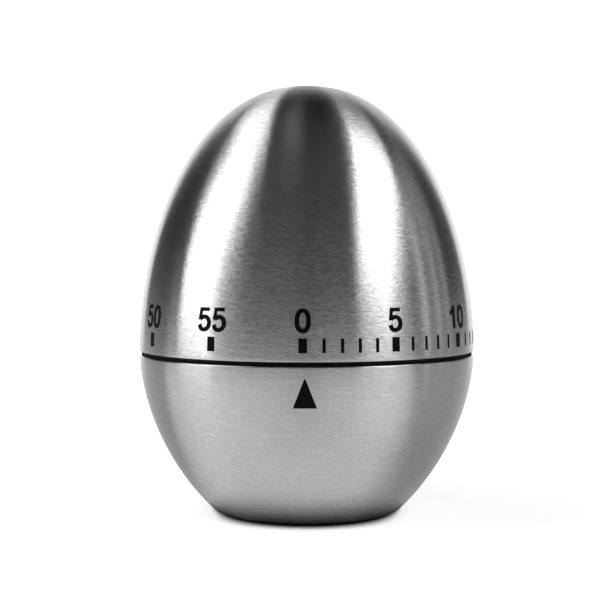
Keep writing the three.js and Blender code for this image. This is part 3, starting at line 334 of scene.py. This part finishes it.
def ink(name):
    """Screen-printed black ink: hardly glossy, a little uneven."""
    n = new_material(name)
    place = n.add("TexCoord").outputs["Object"]
    grain = n.noise(place, scale=9000.0, detail=3.0)
    wash = n.noise(place, scale=1200.0)
    colour = n.ramp(grain, (0.3, 0.001), (0.75, 0.004))
    n.principled(
        {"Specular IOR Level": 0.05},
        bump=(n.maths("ADD", grain, wash), 0.15, 0.00001),
        **{"Base Color": colour, "Roughness": n.remap(wash, 0.42, 0.6)},
    )
    return n.owner


def moulded(name, dark, light, rough=(0.45, 0.62), grain_scale=2600.0, shine=0.5):
    """Moulded plastic with a spark-eroded grain and faint flow marks."""
    n = new_material(name)
    place = n.add("TexCoord").outputs["Object"]
    grain = n.noise(place, scale=grain_scale, detail=3.0, roughness=0.6)
    flow = n.noise(place, scale=140.0, detail=3.0)
    colour = n.mix(n.maths("MULTIPLY", n.maths("ADD", grain, flow), 0.5), dark, light)
    n.principled(
        {"IOR": 1.5, "Specular IOR Level": shine},
        bump=(grain, 0.25, 0.00003),
        **{"Base Color": colour, "Roughness": n.remap(flow, *rough)},
    )
    return n.owner


def worked_metal(name, colour, rough, stretch=(1.0, 1.0, 12.0), spread=0.12, bump=0.1):
    """Turned, rolled or blanked metal: grain stretched across one axis, with stains and small wear."""
    n = new_material(name)
    place = n.add("TexCoord").outputs["Object"]
    lines = n.add("Mapping", Vector=place, Scale=stretch).outputs[0]
    grain = n.noise(lines, scale=900.0, detail=4.0, roughness=0.65)
    stain = n.noise(place, scale=260.0, detail=4.0, roughness=0.6)
    wear = n.ramp(n.noise(place, scale=1500.0), (0.62, 0.0), (0.72, 1.0))
    tone = n.maths("MULTIPLY", n.maths("ADD", grain, stain), 0.5)
    tint = n.mix(tone, tinted(colour, 1 - spread), tinted(colour, 1 + spread))
    tint = n.mix(n.maths("MULTIPLY", wear, 0.25), tint, tinted(colour, 1.3))
    n.principled(
        {"Metallic": 1.0},
        bump=(grain, bump, 0.00003),
        **{"Base Color": tint, "Roughness": n.remap(grain, rough - 0.08, rough + 0.1)},
    )
    return n.owner


DOME_STEEL = brushed_steel("brushed_dome_finish", DOME_SPREAD)
BOWL_STEEL = brushed_steel("brushed_bowl_finish", BOWL_SPREAD)
PRINT = ink("print_finish")
# Black plastic made darker than the cover's: the seam ring's colour also holds painted shade for the narrow
# seam.
RING_PLASTIC_AND_SHADE = moulded(
    "seam_ring_painted_shade_finish", (0.001, 0.001, 0.001), (0.004, 0.004, 0.004), rough=(0.6, 0.8), shine=0.05
)
FINISHES = {
    "brushed_shell": BOWL_STEEL,
    "plate_steel": worked_metal("plate_steel_finish", (0.42, 0.43, 0.44), 0.4, (1.0, 14.0, 1.0)),
    "hard_steel": worked_metal("hard_steel_finish", (0.3, 0.31, 0.33), 0.3),
    "spring_steel": worked_metal("spring_steel_finish", (0.12, 0.15, 0.2), 0.33, (1.0, 1.0, 8.0)),
    "bell_steel": worked_metal(
        "bell_steel_finish", (0.6, 0.6, 0.61), 0.16, (1.0, 1.0, 20.0), spread=0.06, bump=0.05
    ),
    "brass": worked_metal("brass_finish", (0.6, 0.42, 0.14), 0.3, (1.0, 10.0, 1.0)),
    "black_plastic": moulded(
        "black_plastic_finish", (0.008, 0.008, 0.008), (0.018, 0.018, 0.018), shine=0.3
    ),
    "white_acetal": moulded(
        "white_acetal_finish", (0.66, 0.64, 0.58), (0.76, 0.75, 0.7), (0.35, 0.5), grain_scale=1800.0
    ),
}

for part in frame["record"]["subparts"]:
    node = frame["nodes"][part["node"]]
    node.data.materials.clear()
    node.data.materials.append(FINISHES[part["material_slot"]])

# ---------------------------------------------------------------- shells


def dome_shell():
    edge = SEAM_WIDTH / 2
    lip_top = edge + LIP_ROUND
    lip_centre = (dome_radius(lip_top) - LIP_ROUND, SEAM_HEIGHT + edge + LIP_ROUND)
    outer = arc(lip_centre, LIP_ROUND, -math.pi / 2, 0, LIP_STEPS)[:-1] + dome_curve(0, lip_top, DOME_STEPS)
    inner = dome_curve(SHELL_WALL, lip_top, INNER_DOME_STEPS)[::-1]
    inner = inner[:-1] + [(inner[-1][0], SEAM_HEIGHT + edge)]
    piece = turned("dome_skin", outer + inner, DOME_STEEL)
    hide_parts("dome_shell")
    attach(piece, "dial")


def base_shell():
    centre, lean, start = find_roll()
    top = SEAM_HEIGHT - SEAM_WIDTH / 2
    lip_centre = (bowl_radius(top) - LIP_ROUND, top - LIP_ROUND)
    outer = (
        [(FLANGE_HOLE_RADIUS, FOOT_HEIGHT)]
        + arc(centre, ROLL_RADIUS, -math.pi / 2, -lean, ROLL_STEPS)
        + bowl_curve(0, start, top - LIP_ROUND, BOWL_STEPS)[1:]
        + arc(lip_centre, LIP_ROUND, 0, math.pi / 2, LIP_STEPS)[1:]
    )
    inner = (
        bowl_curve(SHELL_WALL, centre[1] + SHELL_WALL, top, INNER_BOWL_STEPS)[::-1]
        + arc(centre, ROLL_RADIUS - SHELL_WALL, -math.pi / 2, -lean, INNER_ROLL_STEPS)[::-1]
        + [(FLANGE_HOLE_RADIUS, FOOT_HEIGHT + SHELL_WALL)]
    )
    piece = turned("base_skin", outer + inner, BOWL_STEEL)
    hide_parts("base_shell")
    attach(piece, "base")


def seam_ring():
    """The housing's rim as it shows in the seam; its finish is black plastic darkened with painted shade."""
    low, high = SEAM_HEIGHT - SEAM_WIDTH / 2 + RING_GAP, SEAM_HEIGHT + RING_RISE
    inner, outer = BODY_RADIUS - RING_DEPTH, BODY_RADIUS - RING_RECESS
    chamfer = [(outer, high - RING_CHAMFER), (outer - RING_CHAMFER, high)]
    piece = turned("seam_ring", [(inner, low), (outer, low), *chamfer, (inner, high)], RING_PLASTIC_AND_SHADE)
    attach(piece, "base")


# ---------------------------------------------------------------- underside

FOOT_RADIUS = 15.7
COVER_RECESS = 0.9
COVER_FLOOR = 11.1  # radius of the recessed middle
COVER_TOP = 2.3
COVER_ROUND = 0.12
COVER_SEGMENTS = 192
COVER_SHARP_ANGLE = 30
SPIGOT_RADIUS = 12.5
SLOT = {"inner": 5.4, "outer": 7.2, "sweep": 36, "first": 100, "count": 6}
COVER_SCREWS = ("cover_screw_1", "cover_screw_2", "cover_screw_3")
SCREW_BORE = 1.3
BORE_SEGMENTS = 32
SCREW_SINK = 2.1
SINK_SEGMENTS = 40
SCREW_SEAT = 1.5
SLOT_STEPS, SLOT_END_STEPS = 16, 8
COVER_ROUND_STEPS = 4
COVER_JOIN = 1e-7  # in metres


def flat_region(bm, outline, holes, z, flip):
    """A level face with holes, its outline and holes given as lists of (x, y)."""
    points, faces = [], []
    for loop in (outline, *holes):
        faces.append(list(range(len(points), len(points) + len(loop))))
        points += loop
    flat, _, triangles, _, _, inside = delaunay_2d_cdt([Vector(p) for p in points], [], faces, 1, 1e-6)
    verts = [bm.verts.new((x * MM, y * MM, z * MM)) for x, y in flat]
    for triangle, ids in zip(triangles, inside):
        if ids == [0]:
            bm.faces.new([verts[i] for i in (triangle[::-1] if flip else triangle)])


def band(bm, low, high):
    """Faces between two closed rows of points."""
    for i in range(len(low)):
        j = (i + 1) % len(low)
        bm.faces.new((low[i], low[j], high[j], high[i]))


def wall(bm, outline, low, high):
    """An upright wall along a closed outline."""
    band(bm, *([bm.verts.new((x * MM, y * MM, z * MM)) for x, y in outline] for z in (low, high)))


def circle(cx, cy, radius, count):
    return arc((cx, cy), radius, 0, 2 * math.pi, count)[:-1]


def sound_slot(middle):
    """A curved slot with round ends, anticlockwise; its middle is an angle in degrees from +X."""
    centre, half = (SLOT["outer"] + SLOT["inner"]) / 2, (SLOT["outer"] - SLOT["inner"]) / 2
    reach = math.radians(SLOT["sweep"] / 2) - half / centre
    first, last = math.radians(middle) - reach, math.radians(middle) + reach

    def round_end(turn, start):
        middle_point = (centre * math.cos(turn), centre * math.sin(turn))
        return arc(middle_point, half, start, start + math.pi, SLOT_END_STEPS)[1:-1]

    return (
        arc((0, 0), SLOT["outer"], first, last, SLOT_STEPS)
        + round_end(last, last)
        + arc((0, 0), SLOT["inner"], last, first, SLOT_STEPS)
        + round_end(first, first + math.pi)
    )


def node_place(node):
    """X and Y of the middle of a CAD node, in millimetres."""
    low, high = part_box(node)
    return (low.x + high.x) / 2 / MM, (low.y + high.y) / 2 / MM


def bottom_cover():
    """The cover with its sound slots and counterbored screw holes."""
    bm = bmesh.new()
    slots = [sound_slot(SLOT["first"] + 360 / SLOT["count"] * i) for i in range(SLOT["count"])]
    places = [node_place(screw) for screw in COVER_SCREWS]
    bores = [circle(x, y, SCREW_BORE, BORE_SEGMENTS) for x, y in places]
    sinks = [circle(x, y, SCREW_SINK, SINK_SEGMENTS) for x, y in places]
    flat_region(bm, circle(0, 0, COVER_FLOOR, COVER_SEGMENTS), slots + sinks, COVER_RECESS, True)
    flat_region(bm, circle(0, 0, SPIGOT_RADIUS, COVER_SEGMENTS), slots + bores, COVER_TOP, False)
    for sink, bore in zip(sinks, bores):
        flat_region(bm, sink, [bore], SCREW_SEAT, True)
        wall(bm, sink, COVER_RECESS, SCREW_SEAT)
        wall(bm, bore, SCREW_SEAT, COVER_TOP)
    for slot in slots:
        wall(bm, slot, COVER_RECESS, COVER_TOP)
    inner_round = (COVER_FLOOR + COVER_ROUND, COVER_ROUND)
    outer_round = (FOOT_RADIUS - COVER_ROUND, COVER_ROUND)
    rim = (
        [(COVER_FLOOR, COVER_RECESS)]
        + arc(inner_round, COVER_ROUND, math.pi, 1.5 * math.pi, COVER_ROUND_STEPS)
        + arc(outer_round, COVER_ROUND, -math.pi / 2, 0, COVER_ROUND_STEPS)
        + [(FOOT_RADIUS, FOOT_HEIGHT), (SPIGOT_RADIUS, FOOT_HEIGHT), (SPIGOT_RADIUS, COVER_TOP)]
    )
    rings = []
    for r, z in rim:
        rings.append([bm.verts.new((x * MM, y * MM, z * MM)) for x, y in circle(0, 0, r, COVER_SEGMENTS)])
    for low, high in zip(rings, rings[1:]):
        band(bm, low, high)
    bmesh.ops.remove_doubles(bm, verts=bm.verts, dist=COVER_JOIN)
    piece = finished("bottom_cover_moulding", bm, FINISHES["black_plastic"], COVER_SHARP_ANGLE)
    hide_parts("bottom_cover")
    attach(piece, "base")


# ---------------------------------------------------------------- print

INK = 0.02  # how far the print stands proud of the steel
INK_ROOT = 0.02  # and how far it reaches into it
PRINT_CELL = 0.3  # the mesh of the print is no coarser than this, so that it follows the steel
PRINT_SHARP_ANGLE = 40
FIGURE_FOOT = 5.04  # from the middle of the seam
FIGURE_PITCH = 2.88
ONE_SHIFT = 0.35  # the narrow 1 stands nearer to the figure after it
BAR = (1.40, 2.35)
LINE = (0.55, 2.30)
BAR_FOOT = 1.85
LINE_ANGLES = (6.5, 12.2, 17.8, 23.5)  # degrees from the bar before them
LINES_END = 15  # minutes
POINTER = {"width": 3.9, "tip": 0.2, "apex": 2.3, "base": 7.05}
DIAL_ZERO = -0.34  # degrees
POINTER_AT = 0.3


def superellipse(cx, cy, rx, ry, power, count=48):
    points = []
    for i in range(count):
        c, s = math.cos(2 * math.pi * i / count), math.sin(2 * math.pi * i / count)
        dx, dy = (math.copysign(abs(part) ** (2 / power), part) for part in (c, s))
        points.append((cx + rx * dx, cy + ry * dy))
    return points


def between(a, b, c, d, t):
    """Where a Catmull-Rom curve is on its way from b to c, as t goes from 0 to 1."""
    slope, bend, twist = c - a, 2 * a - 5 * b + 4 * c - d, 3 * b - a - 3 * c + d
    return 0.5 * (2 * b + slope * t + bend * t * t + twist * t**3)


def spline(points, per_span=8):
    """A smooth curve through points."""
    before, after = (tuple(2 * a - b for a, b in zip(p, q)) for p, q in (points[:2], points[:-3:-1]))
    ends = [before, *points, after]
    curve = []
    for span in zip(ends, ends[1:], ends[2:], ends[3:]):
        for k in range(per_span):
            curve.append(tuple(between(*values, k / per_span) for values in zip(*span)))
    return curve + [tuple(points[-1])]


def stroke(points, upright=0.41, flat=0.35):
    """A stroke along a curve, as a row of quads. It has one half-width where it runs upright and another
    where it lies flat."""
    curve = spline(points)
    left, right = [], []
    for i, (x, y) in enumerate(curve):
        (a, b), (c, d) = curve[max(0, i - 1)], curve[min(len(curve) - 1, i + 1)]
        length = math.hypot(c - a, d - b)
        nx, ny = (b - d) / length, (c - a) / length
        half = math.hypot(upright * nx, flat * ny)
        left.append((x + nx * half, y + ny * half))
        right.append((x - nx * half, y - ny * half))
    return [list(quad) for quad in zip(left, left[1:], right[1:], right)]


# Each figure: its width, then the outlines that fill it, then its holes.
FIGURES = {
    "0": (2.6, [superellipse(1.3, 1.93, 1.3, 1.97, 2.3)], [superellipse(1.3, 1.93, 0.54, 1.26, 2.3)]),
    "1": (
        1.6,
        [[(0.78, 0), (1.64, 0), (1.64, 3.88), (0.96, 3.88), (0.76, 3.5), (0.43, 3.16), (0, 2.95),
          (0, 2.2), (0.42, 2.36), (0.78, 2.62)]],
        [],
    ),
    "2": (
        2.6,
        [*stroke([(0.37, 2.66), (0.52, 3.2), (1.28, 3.58), (2.05, 3.3), (2.22, 2.72), (1.9, 2.1), (1.26, 1.5),
                  (0.7, 0.98), (0.46, 0.42)]),
         [(0, 0), (2.6, 0), (2.6, 0.62), (0.5, 0.62), (0.06, 0.42)]],
        [],
    ),
    "3": (
        2.6,
        [*stroke([(0.37, 2.9), (0.62, 3.38), (1.26, 3.58), (1.94, 3.34), (2.1, 2.9), (1.82, 2.3),
                  (1.05, 2.12)]),
         *stroke([(1.05, 2.12), (1.9, 1.92), (2.25, 1.2), (1.95, 0.52), (1.26, 0.28), (0.62, 0.5),
                  (0.35, 1.08)])],
        [],
    ),
    "4": (
        2.7,
        [[(0, 0.76), (0, 1.42), (1.44, 3.88), (2.18, 3.88), (2.18, 1.42), (2.7, 1.42), (2.7, 0.76),
          (2.18, 0.76), (2.18, 0), (1.44, 0), (1.44, 0.76)]],
        [[(0.64, 1.42), (1.44, 1.42), (1.44, 2.8)]],
    ),
    "5": (
        2.6,
        [[(0.37, 3.88), (2.3, 3.88), (2.3, 3.28), (0.93, 3.28), (0.78, 2.4), (0.7, 1.9), (0.06, 1.84)],
         *stroke([(0.46, 1.98), (0.85, 2.26), (1.38, 2.38), (1.98, 2.1), (2.25, 1.36), (1.98, 0.6),
                  (1.25, 0.29), (0.62, 0.48), (0.35, 1.12)])],
        [],
    ),
}


def anticlockwise(outline):
    twice_area = sum(x * v - u * y for (x, y), (u, v) in zip(outline, outline[1:] + outline[:1]))
    return outline if twice_area > 0 else outline[::-1]


def print_mesh(solids, holes):
    """Flat points and triangles that fill the solid outlines and leave the holes free."""
    points, faces = [], []
    for outline in map(anticlockwise, [*solids, *holes]):
        first = len(points)
        for (x, y), (u, v) in zip(outline, outline[1:] + outline[:1]):
            cuts = max(1, math.ceil(math.hypot(u - x, v - y) / PRINT_CELL))
            points += [(x + (u - x) * k / cuts, y + (v - y) * k / cuts) for k in range(cuts)]
        faces.append(list(range(first, len(points))))
    lows, highs = np.min(points, axis=0), np.max(points, axis=0)
    for x in np.arange(lows[0] + PRINT_CELL / 2, highs[0], PRINT_CELL):
        points += [(float(x), float(y)) for y in np.arange(lows[1] + PRINT_CELL / 2, highs[1], PRINT_CELL)]
    flat, _, triangles, _, _, inside = delaunay_2d_cdt([Vector(p) for p in points], [], faces, 1, 1e-5)
    kept = [t for t, ids in zip(triangles, inside) if ids and all(i < len(solids) for i in ids)]
    return flat, kept


def printed(name, outlines, radius_at):
    """Ink laid on the steel. Each outline is (solids, holes, azimuth in degrees, foot height), and its x
    runs along the surface."""
    bm = bmesh.new()
    for solids, holes, azimuth, foot in outlines:
        flat, triangles = print_mesh(solids, holes)

        def lifted(rise):
            made = []
            for x, y in flat:
                height = foot + y
                radius = radius_at(height) + rise
                turn = math.radians(azimuth) + x / radius
                place = (radius * math.sin(turn), -radius * math.cos(turn), height)
                made.append(bm.verts.new([c * MM for c in place]))
            return made

        top, bottom = lifted(INK), lifted(-INK_ROOT)
        edges = set()
        for a, b, c in triangles:
            bm.faces.new((top[a], top[b], top[c]))
            bm.faces.new((bottom[c], bottom[b], bottom[a]))
            edges.update(((a, b), (b, c), (c, a)))
        for a, b in sorted(edges):
            if (b, a) not in edges:
                bm.faces.new((top[b], top[a], bottom[a], bottom[b]))
    bmesh.ops.delete(bm, geom=[v for v in bm.verts if not v.link_faces], context="VERTS")
    return finished(name, bm, PRINT, PRINT_SHARP_ANGLE)


def rectangle(width, height):
    return [(-width / 2, 0), (width / 2, 0), (width / 2, height), (-width / 2, height)]


def moved(outline, dx):
    return [(x + dx, y) for x, y in outline]


def dial_print():
    def on_dome(height):
        return dome_radius(height - SEAM_HEIGHT)

    figures, bars, lines = [], [], []
    for minute in range(0, 60, 5):
        azimuth = DIAL_ZERO + 6 * minute
        text = str(minute)
        left = -(FIGURE_PITCH * (len(text) - 1) + FIGURES[text[-1]][0]) / 2
        for k, figure in enumerate(text):
            dx = left + k * FIGURE_PITCH + (ONE_SHIFT if figure == "1" else 0)
            _, solids, holes = FIGURES[figure]
            shifted = [[moved(outline, dx) for outline in group] for group in (solids, holes)]
            figures.append((*shifted, azimuth, SEAM_HEIGHT + FIGURE_FOOT))
        bars.append(([rectangle(*BAR)], [], azimuth, SEAM_HEIGHT + BAR_FOOT))
        if minute < LINES_END:
            lines += [([rectangle(*LINE)], [], azimuth + a, SEAM_HEIGHT + BAR_FOOT) for a in LINE_ANGLES]
    for name, group in (("scale_figures", figures), ("scale_bars", bars), ("scale_lines", lines)):
        piece = printed(name, group, on_dome)
        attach(piece, "dial")


def pointer():
    half, tip, height = POINTER["width"] / 2, POINTER["tip"] / 2, POINTER["base"] - POINTER["apex"]
    triangle = [(-half, 0), (half, 0), (tip, height), (-tip, height)]
    piece = printed("pointer", [([triangle], [], POINTER_AT, SEAM_HEIGHT - POINTER["base"])], bowl_radius)
    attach(piece, "base")


dome_shell()
base_shell()
seam_ring()
bottom_cover()
dial_print()
pointer()

# ---------------------------------------------------------------- camera

CAMERA_DISTANCE = 241
CAMERA_HEIGHT = 46.6
CAMERA_AZIMUTH = 0.85
CAMERA_TILT = 2.09  # degrees down
CAMERA_YAW = 0.285  # the egg stands a little right of the middle
LENS = 80.1
SENSOR = 36

camera_data = bpy.data.cameras.new("camera")
camera_data.lens = LENS
camera_data.sensor_width = SENSOR
camera_data.clip_start = 0.01
camera = bpy.data.objects.new("camera", camera_data)
azimuth = math.radians(CAMERA_AZIMUTH)
away = CAMERA_DISTANCE * Vector((math.sin(azimuth), -math.cos(azimuth), 0))
camera.location = (away + Vector((0, 0, CAMERA_HEIGHT))) * MM
camera.rotation_euler = (math.radians(90 - CAMERA_TILT), 0, azimuth + math.radians(CAMERA_YAW))
bpy.context.scene.collection.objects.link(camera)
bpy.context.scene.camera = camera

# ---------------------------------------------------------------- stage

# The stage is in metres. The floor's levels change with the distance from the object's axis or with X and Y,
# and some of them differ where a shiny surface sees the floor.
FLOOR_HALF_WIDTH = 1.0
FLOOR_FRONT = -0.35
STAGE_BACK = 1.0
BACKDROP_HALF_WIDTH, BACKDROP_HEIGHT = 0.7, 1.0
# The floor's grey, from its darkest in the painted shadow under the object's edge to pale.
FLOOR_SHADOW_GREY, FLOOR_PALE = 0.03, 0.8
PAPER_WHITE = 0.8

# The thin dark line under the object's edge: painted shadow, on top of the lamps' real shadow. Its end
# changes over a turn of Y.
PAINTED_EDGE_SHADOW = {"start": 0.0155, "front_end": 0.0205, "back_end": 0.0175, "turn": (-0.016, -0.004)}
SHINY_EDGE_SHADOW = {"start": 0.001, "end": 0.003}  # how much further out it lies for a shiny surface
# Painted shade that only a shiny surface sees in the floor: shade behind the object, which slants with X, and
# a dimmer middle.
SHADE = {"slant": 0.28, "span": (-0.022, -0.002), "depth": 0.5}
MIDDLE_SHADE = {"half_width": 0.04, "span": (0.022, 0.045), "depth": 0.22}
# The white near the object, which a shiny surface sees dimmer in front, as painted shade, and the white
# further out.
GLOW, SHINY_GLOW, GLOW_SPAN = 0.56, 0.14, (-0.24, -0.06)
OUTER_GLOW, AROUND_SPAN, FAR_SPAN = 0.6, (0.08, 0.25), (0.05, 0.4)


def shiny_rays(n):
    """1 for glossy and transmission rays, 0 for others."""
    path = n.add("LightPath").outputs
    return n.maths("MAXIMUM", path["Is Glossy Ray"], path["Is Transmission Ray"])


def paper(name, levels):
    """Matt paper of a grey, plus a white of some strength that only the camera and shiny surfaces see."""
    n = new_material(name)
    grey, strength = levels(n)
    diffuse = n.add("BsdfDiffuse", Color=grey).outputs[0]
    seen = n.maths("MAXIMUM", n.add("LightPath").outputs["Is Camera Ray"], shiny_rays(n))
    white = n.add("Emission", Color=(1, 1, 1, 1), Strength=n.maths("MULTIPLY", seen, strength)).outputs[0]
    n.feed(n.surface, n.add("AddShader", i0=diffuse, i1=white).outputs[0])
    return n.owner


def floor_levels(n):
    """Pale, with a thin dark line of painted shadow under the object's edge, and white further off. What the
    steel mirrors has a wider line of painted shadow, painted shade close behind the object and a dimmer
    middle, and is dim in front."""
    x, y, _ = n.add("SeparateXYZ", i0=n.add("TexCoord").outputs["Object"]).outputs
    reach = n.maths("SQRT", n.maths("ADD", n.maths("MULTIPLY", x, x), n.maths("MULTIPLY", y, y)))
    shiny = shiny_rays(n)

    def for_shiny(level, change):
        """A level, changed by so much where a shiny surface sees it."""
        return n.maths("MULTIPLY_ADD", shiny, change, level)

    # Painted shadow: the floor's grey and white fall off near the object's edge, wider where a shiny surface
    # sees it.
    shadow_end = n.rise(y, PAINTED_EDGE_SHADOW["front_end"], PAINTED_EDGE_SHADOW["back_end"], PAINTED_EDGE_SHADOW["turn"])
    shadow_span = (for_shiny(PAINTED_EDGE_SHADOW["start"], SHINY_EDGE_SHADOW["start"]), for_shiny(shadow_end, SHINY_EDGE_SHADOW["end"]))
    edge_shadow = n.rise(reach, 0.0, 1.0, shadow_span)
    # Painted shade for reflections only: darker behind the object, in the middle and in front, for shiny
    # rays.
    behind = n.maths("MULTIPLY_ADD", x, SHADE["slant"], y)
    shade = n.maths("MULTIPLY", shiny, n.rise(behind, 0.0, SHADE["depth"], SHADE["span"]))
    middle_shade = for_shiny(1.0, n.rise(reach, 0.0, -MIDDLE_SHADE["depth"], MIDDLE_SHADE["span"]))
    middle = n.rise(n.maths("ABSOLUTE", x), middle_shade, 1.0, (0.0, MIDDLE_SHADE["half_width"]))
    painted_light = n.maths("MULTIPLY", n.maths("MULTIPLY", edge_shadow, middle), n.maths("SUBTRACT", 1.0, shade))
    front_glow = for_shiny(GLOW, SHINY_GLOW - GLOW)
    glow = n.maths("MULTIPLY", painted_light, n.rise(y, front_glow, GLOW, GLOW_SPAN))
    around = n.rise(reach, 0.0, for_shiny(OUTER_GLOW, -OUTER_GLOW), AROUND_SPAN)
    far = n.maths("MAXIMUM", around, n.rise(y, 0.0, OUTER_GLOW, FAR_SPAN))
    # The grey drops to its darkest where the painted shadow and the painted shade lie.
    grey = n.maths("MULTIPLY_ADD", painted_light, FLOOR_PALE - FLOOR_SHADOW_GREY, FLOOR_SHADOW_GREY)
    return grey, n.maths("ADD", glow, far)


def backdrop_levels(n):
    return (PAPER_WHITE, PAPER_WHITE, PAPER_WHITE, 1), 1.0


def plane(name, half_width, low, high, material):
    """A rectangle between two edges along X, each given as its (y, z)."""
    corners = [(-half_width, *low), (half_width, *low), (half_width, *high), (-half_width, *high)]
    mesh = bpy.data.meshes.new(name)
    mesh.from_pydata(corners, [], [tuple(range(len(corners)))])
    new_object(name, mesh, material)


floor_paper = paper("floor_paper", floor_levels)
backdrop_paper = paper("backdrop_paper", backdrop_levels)
plane("floor", FLOOR_HALF_WIDTH, (FLOOR_FRONT, 0), (STAGE_BACK, 0), floor_paper)
plane("backdrop", BACKDROP_HALF_WIDTH, (STAGE_BACK, 0), (STAGE_BACK, BACKDROP_HEIGHT), backdrop_paper)

# ---------------------------------------------------------------- light

LAMP_AIM = Vector((0, 0, 0.04))


def softbox(name, azimuth, elevation, distance, width, height, radiance, roll=0.0):
    """A rectangular lamp facing the object; it leans clockwise, as seen from the object, by the roll."""
    light = bpy.data.lights.new(name, "AREA")
    light.shape = "RECTANGLE"
    light.size, light.size_y = width, height
    light.energy = radiance * math.pi * width * height
    lamp = bpy.data.objects.new(name, light)
    a, e = math.radians(azimuth), math.radians(elevation)
    towards = Vector((math.sin(a) * math.cos(e), -math.cos(a) * math.cos(e), math.sin(e)))
    lamp.location = LAMP_AIM + distance * towards
    facing = (LAMP_AIM - lamp.location).to_track_quat("-Z", "Y")
    lamp.rotation_euler = (facing @ Quaternion((0, 0, 1), math.radians(roll))).to_euler()
    lamp.visible_camera = False
    bpy.context.scene.collection.objects.link(lamp)


softbox("softbox_left", -76.5, 26, 0.5, width=0.265, height=0.46, radiance=3.9, roll=-8)
softbox("softbox_above", -103, 59, 0.5, width=0.44, height=0.17, radiance=2.4)
softbox("softbox_right", 64.5, 37, 0.5, width=0.24, height=0.56, radiance=3.9, roll=-42)
softbox("fill_right", 99, 18, 0.6, width=0.34, height=0.45, radiance=0.2)
# Three narrow lamps draw the thin upright streaks on the right. Each has its azimuth, width and radiance.
STREAKS = ((87, 0.05, 0.85), (100, 0.035, 0.6), (111, 0.03, 0.4))
for number, (azimuth, width, radiance) in enumerate(STREAKS, 1):
    softbox(f"strip_{number}", azimuth, 18, 0.59, width, height=0.45, radiance=radiance)

# The room's levels change with the direction's X, Y and Z, each from -1 to 1. The strip multiplies the room's
# level, and the patch adds to it.
ROOM_LOW, ROOM_HIGH, ROOM_RISE = 0.2, 0.09, (0.0, 0.17)
ROOM_BEHIND, ROOM_TURN = 0.04, (-0.1, 0.5)
STRIP = {"x": 0.1, "edge": (0.03, 0.2), "front_gain": 0.9, "back_gain": 0.2, "turn": (-0.35, 0.1)}
PATCH = {"x": -0.15, "edge": (0.03, 0.16), "level": 0.2, "rise": (0.88, 0.96), "turn": (0.0, 0.3)}


def studio():
    """A dim room with a dark upright strip and a pale patch overhead. The camera sees it white."""
    n = Nodes(bpy.data.worlds.new("studio"), "OutputWorld")
    x, y, z = n.add("SeparateXYZ", i0=n.add("TexCoord").outputs["Generated"]).outputs
    room = n.rise(z, ROOM_LOW, ROOM_HIGH, ROOM_RISE)
    room = n.rise(y, room, ROOM_BEHIND, ROOM_TURN)
    strip = n.rise(y, STRIP["front_gain"], STRIP["back_gain"], STRIP["turn"])
    strip = n.rise(n.distance(x, STRIP["x"]), strip, 1.0, STRIP["edge"])
    patch = n.rise(y, n.rise(z, 0.0, PATCH["level"], PATCH["rise"]), 0.0, PATCH["turn"])
    patch = n.rise(n.distance(x, PATCH["x"]), patch, 0.0, PATCH["edge"])
    room = n.maths("MULTIPLY_ADD", room, strip, patch)
    shown = n.remap(n.add("LightPath").outputs["Is Camera Ray"], room, 1.0)
    n.feed(n.surface, n.add("Background", Color=(1, 1, 1, 1), Strength=shown).outputs[0])
    return n.owner


bpy.context.scene.world = studio()
bpy.context.scene.view_settings.view_transform = "Standard"
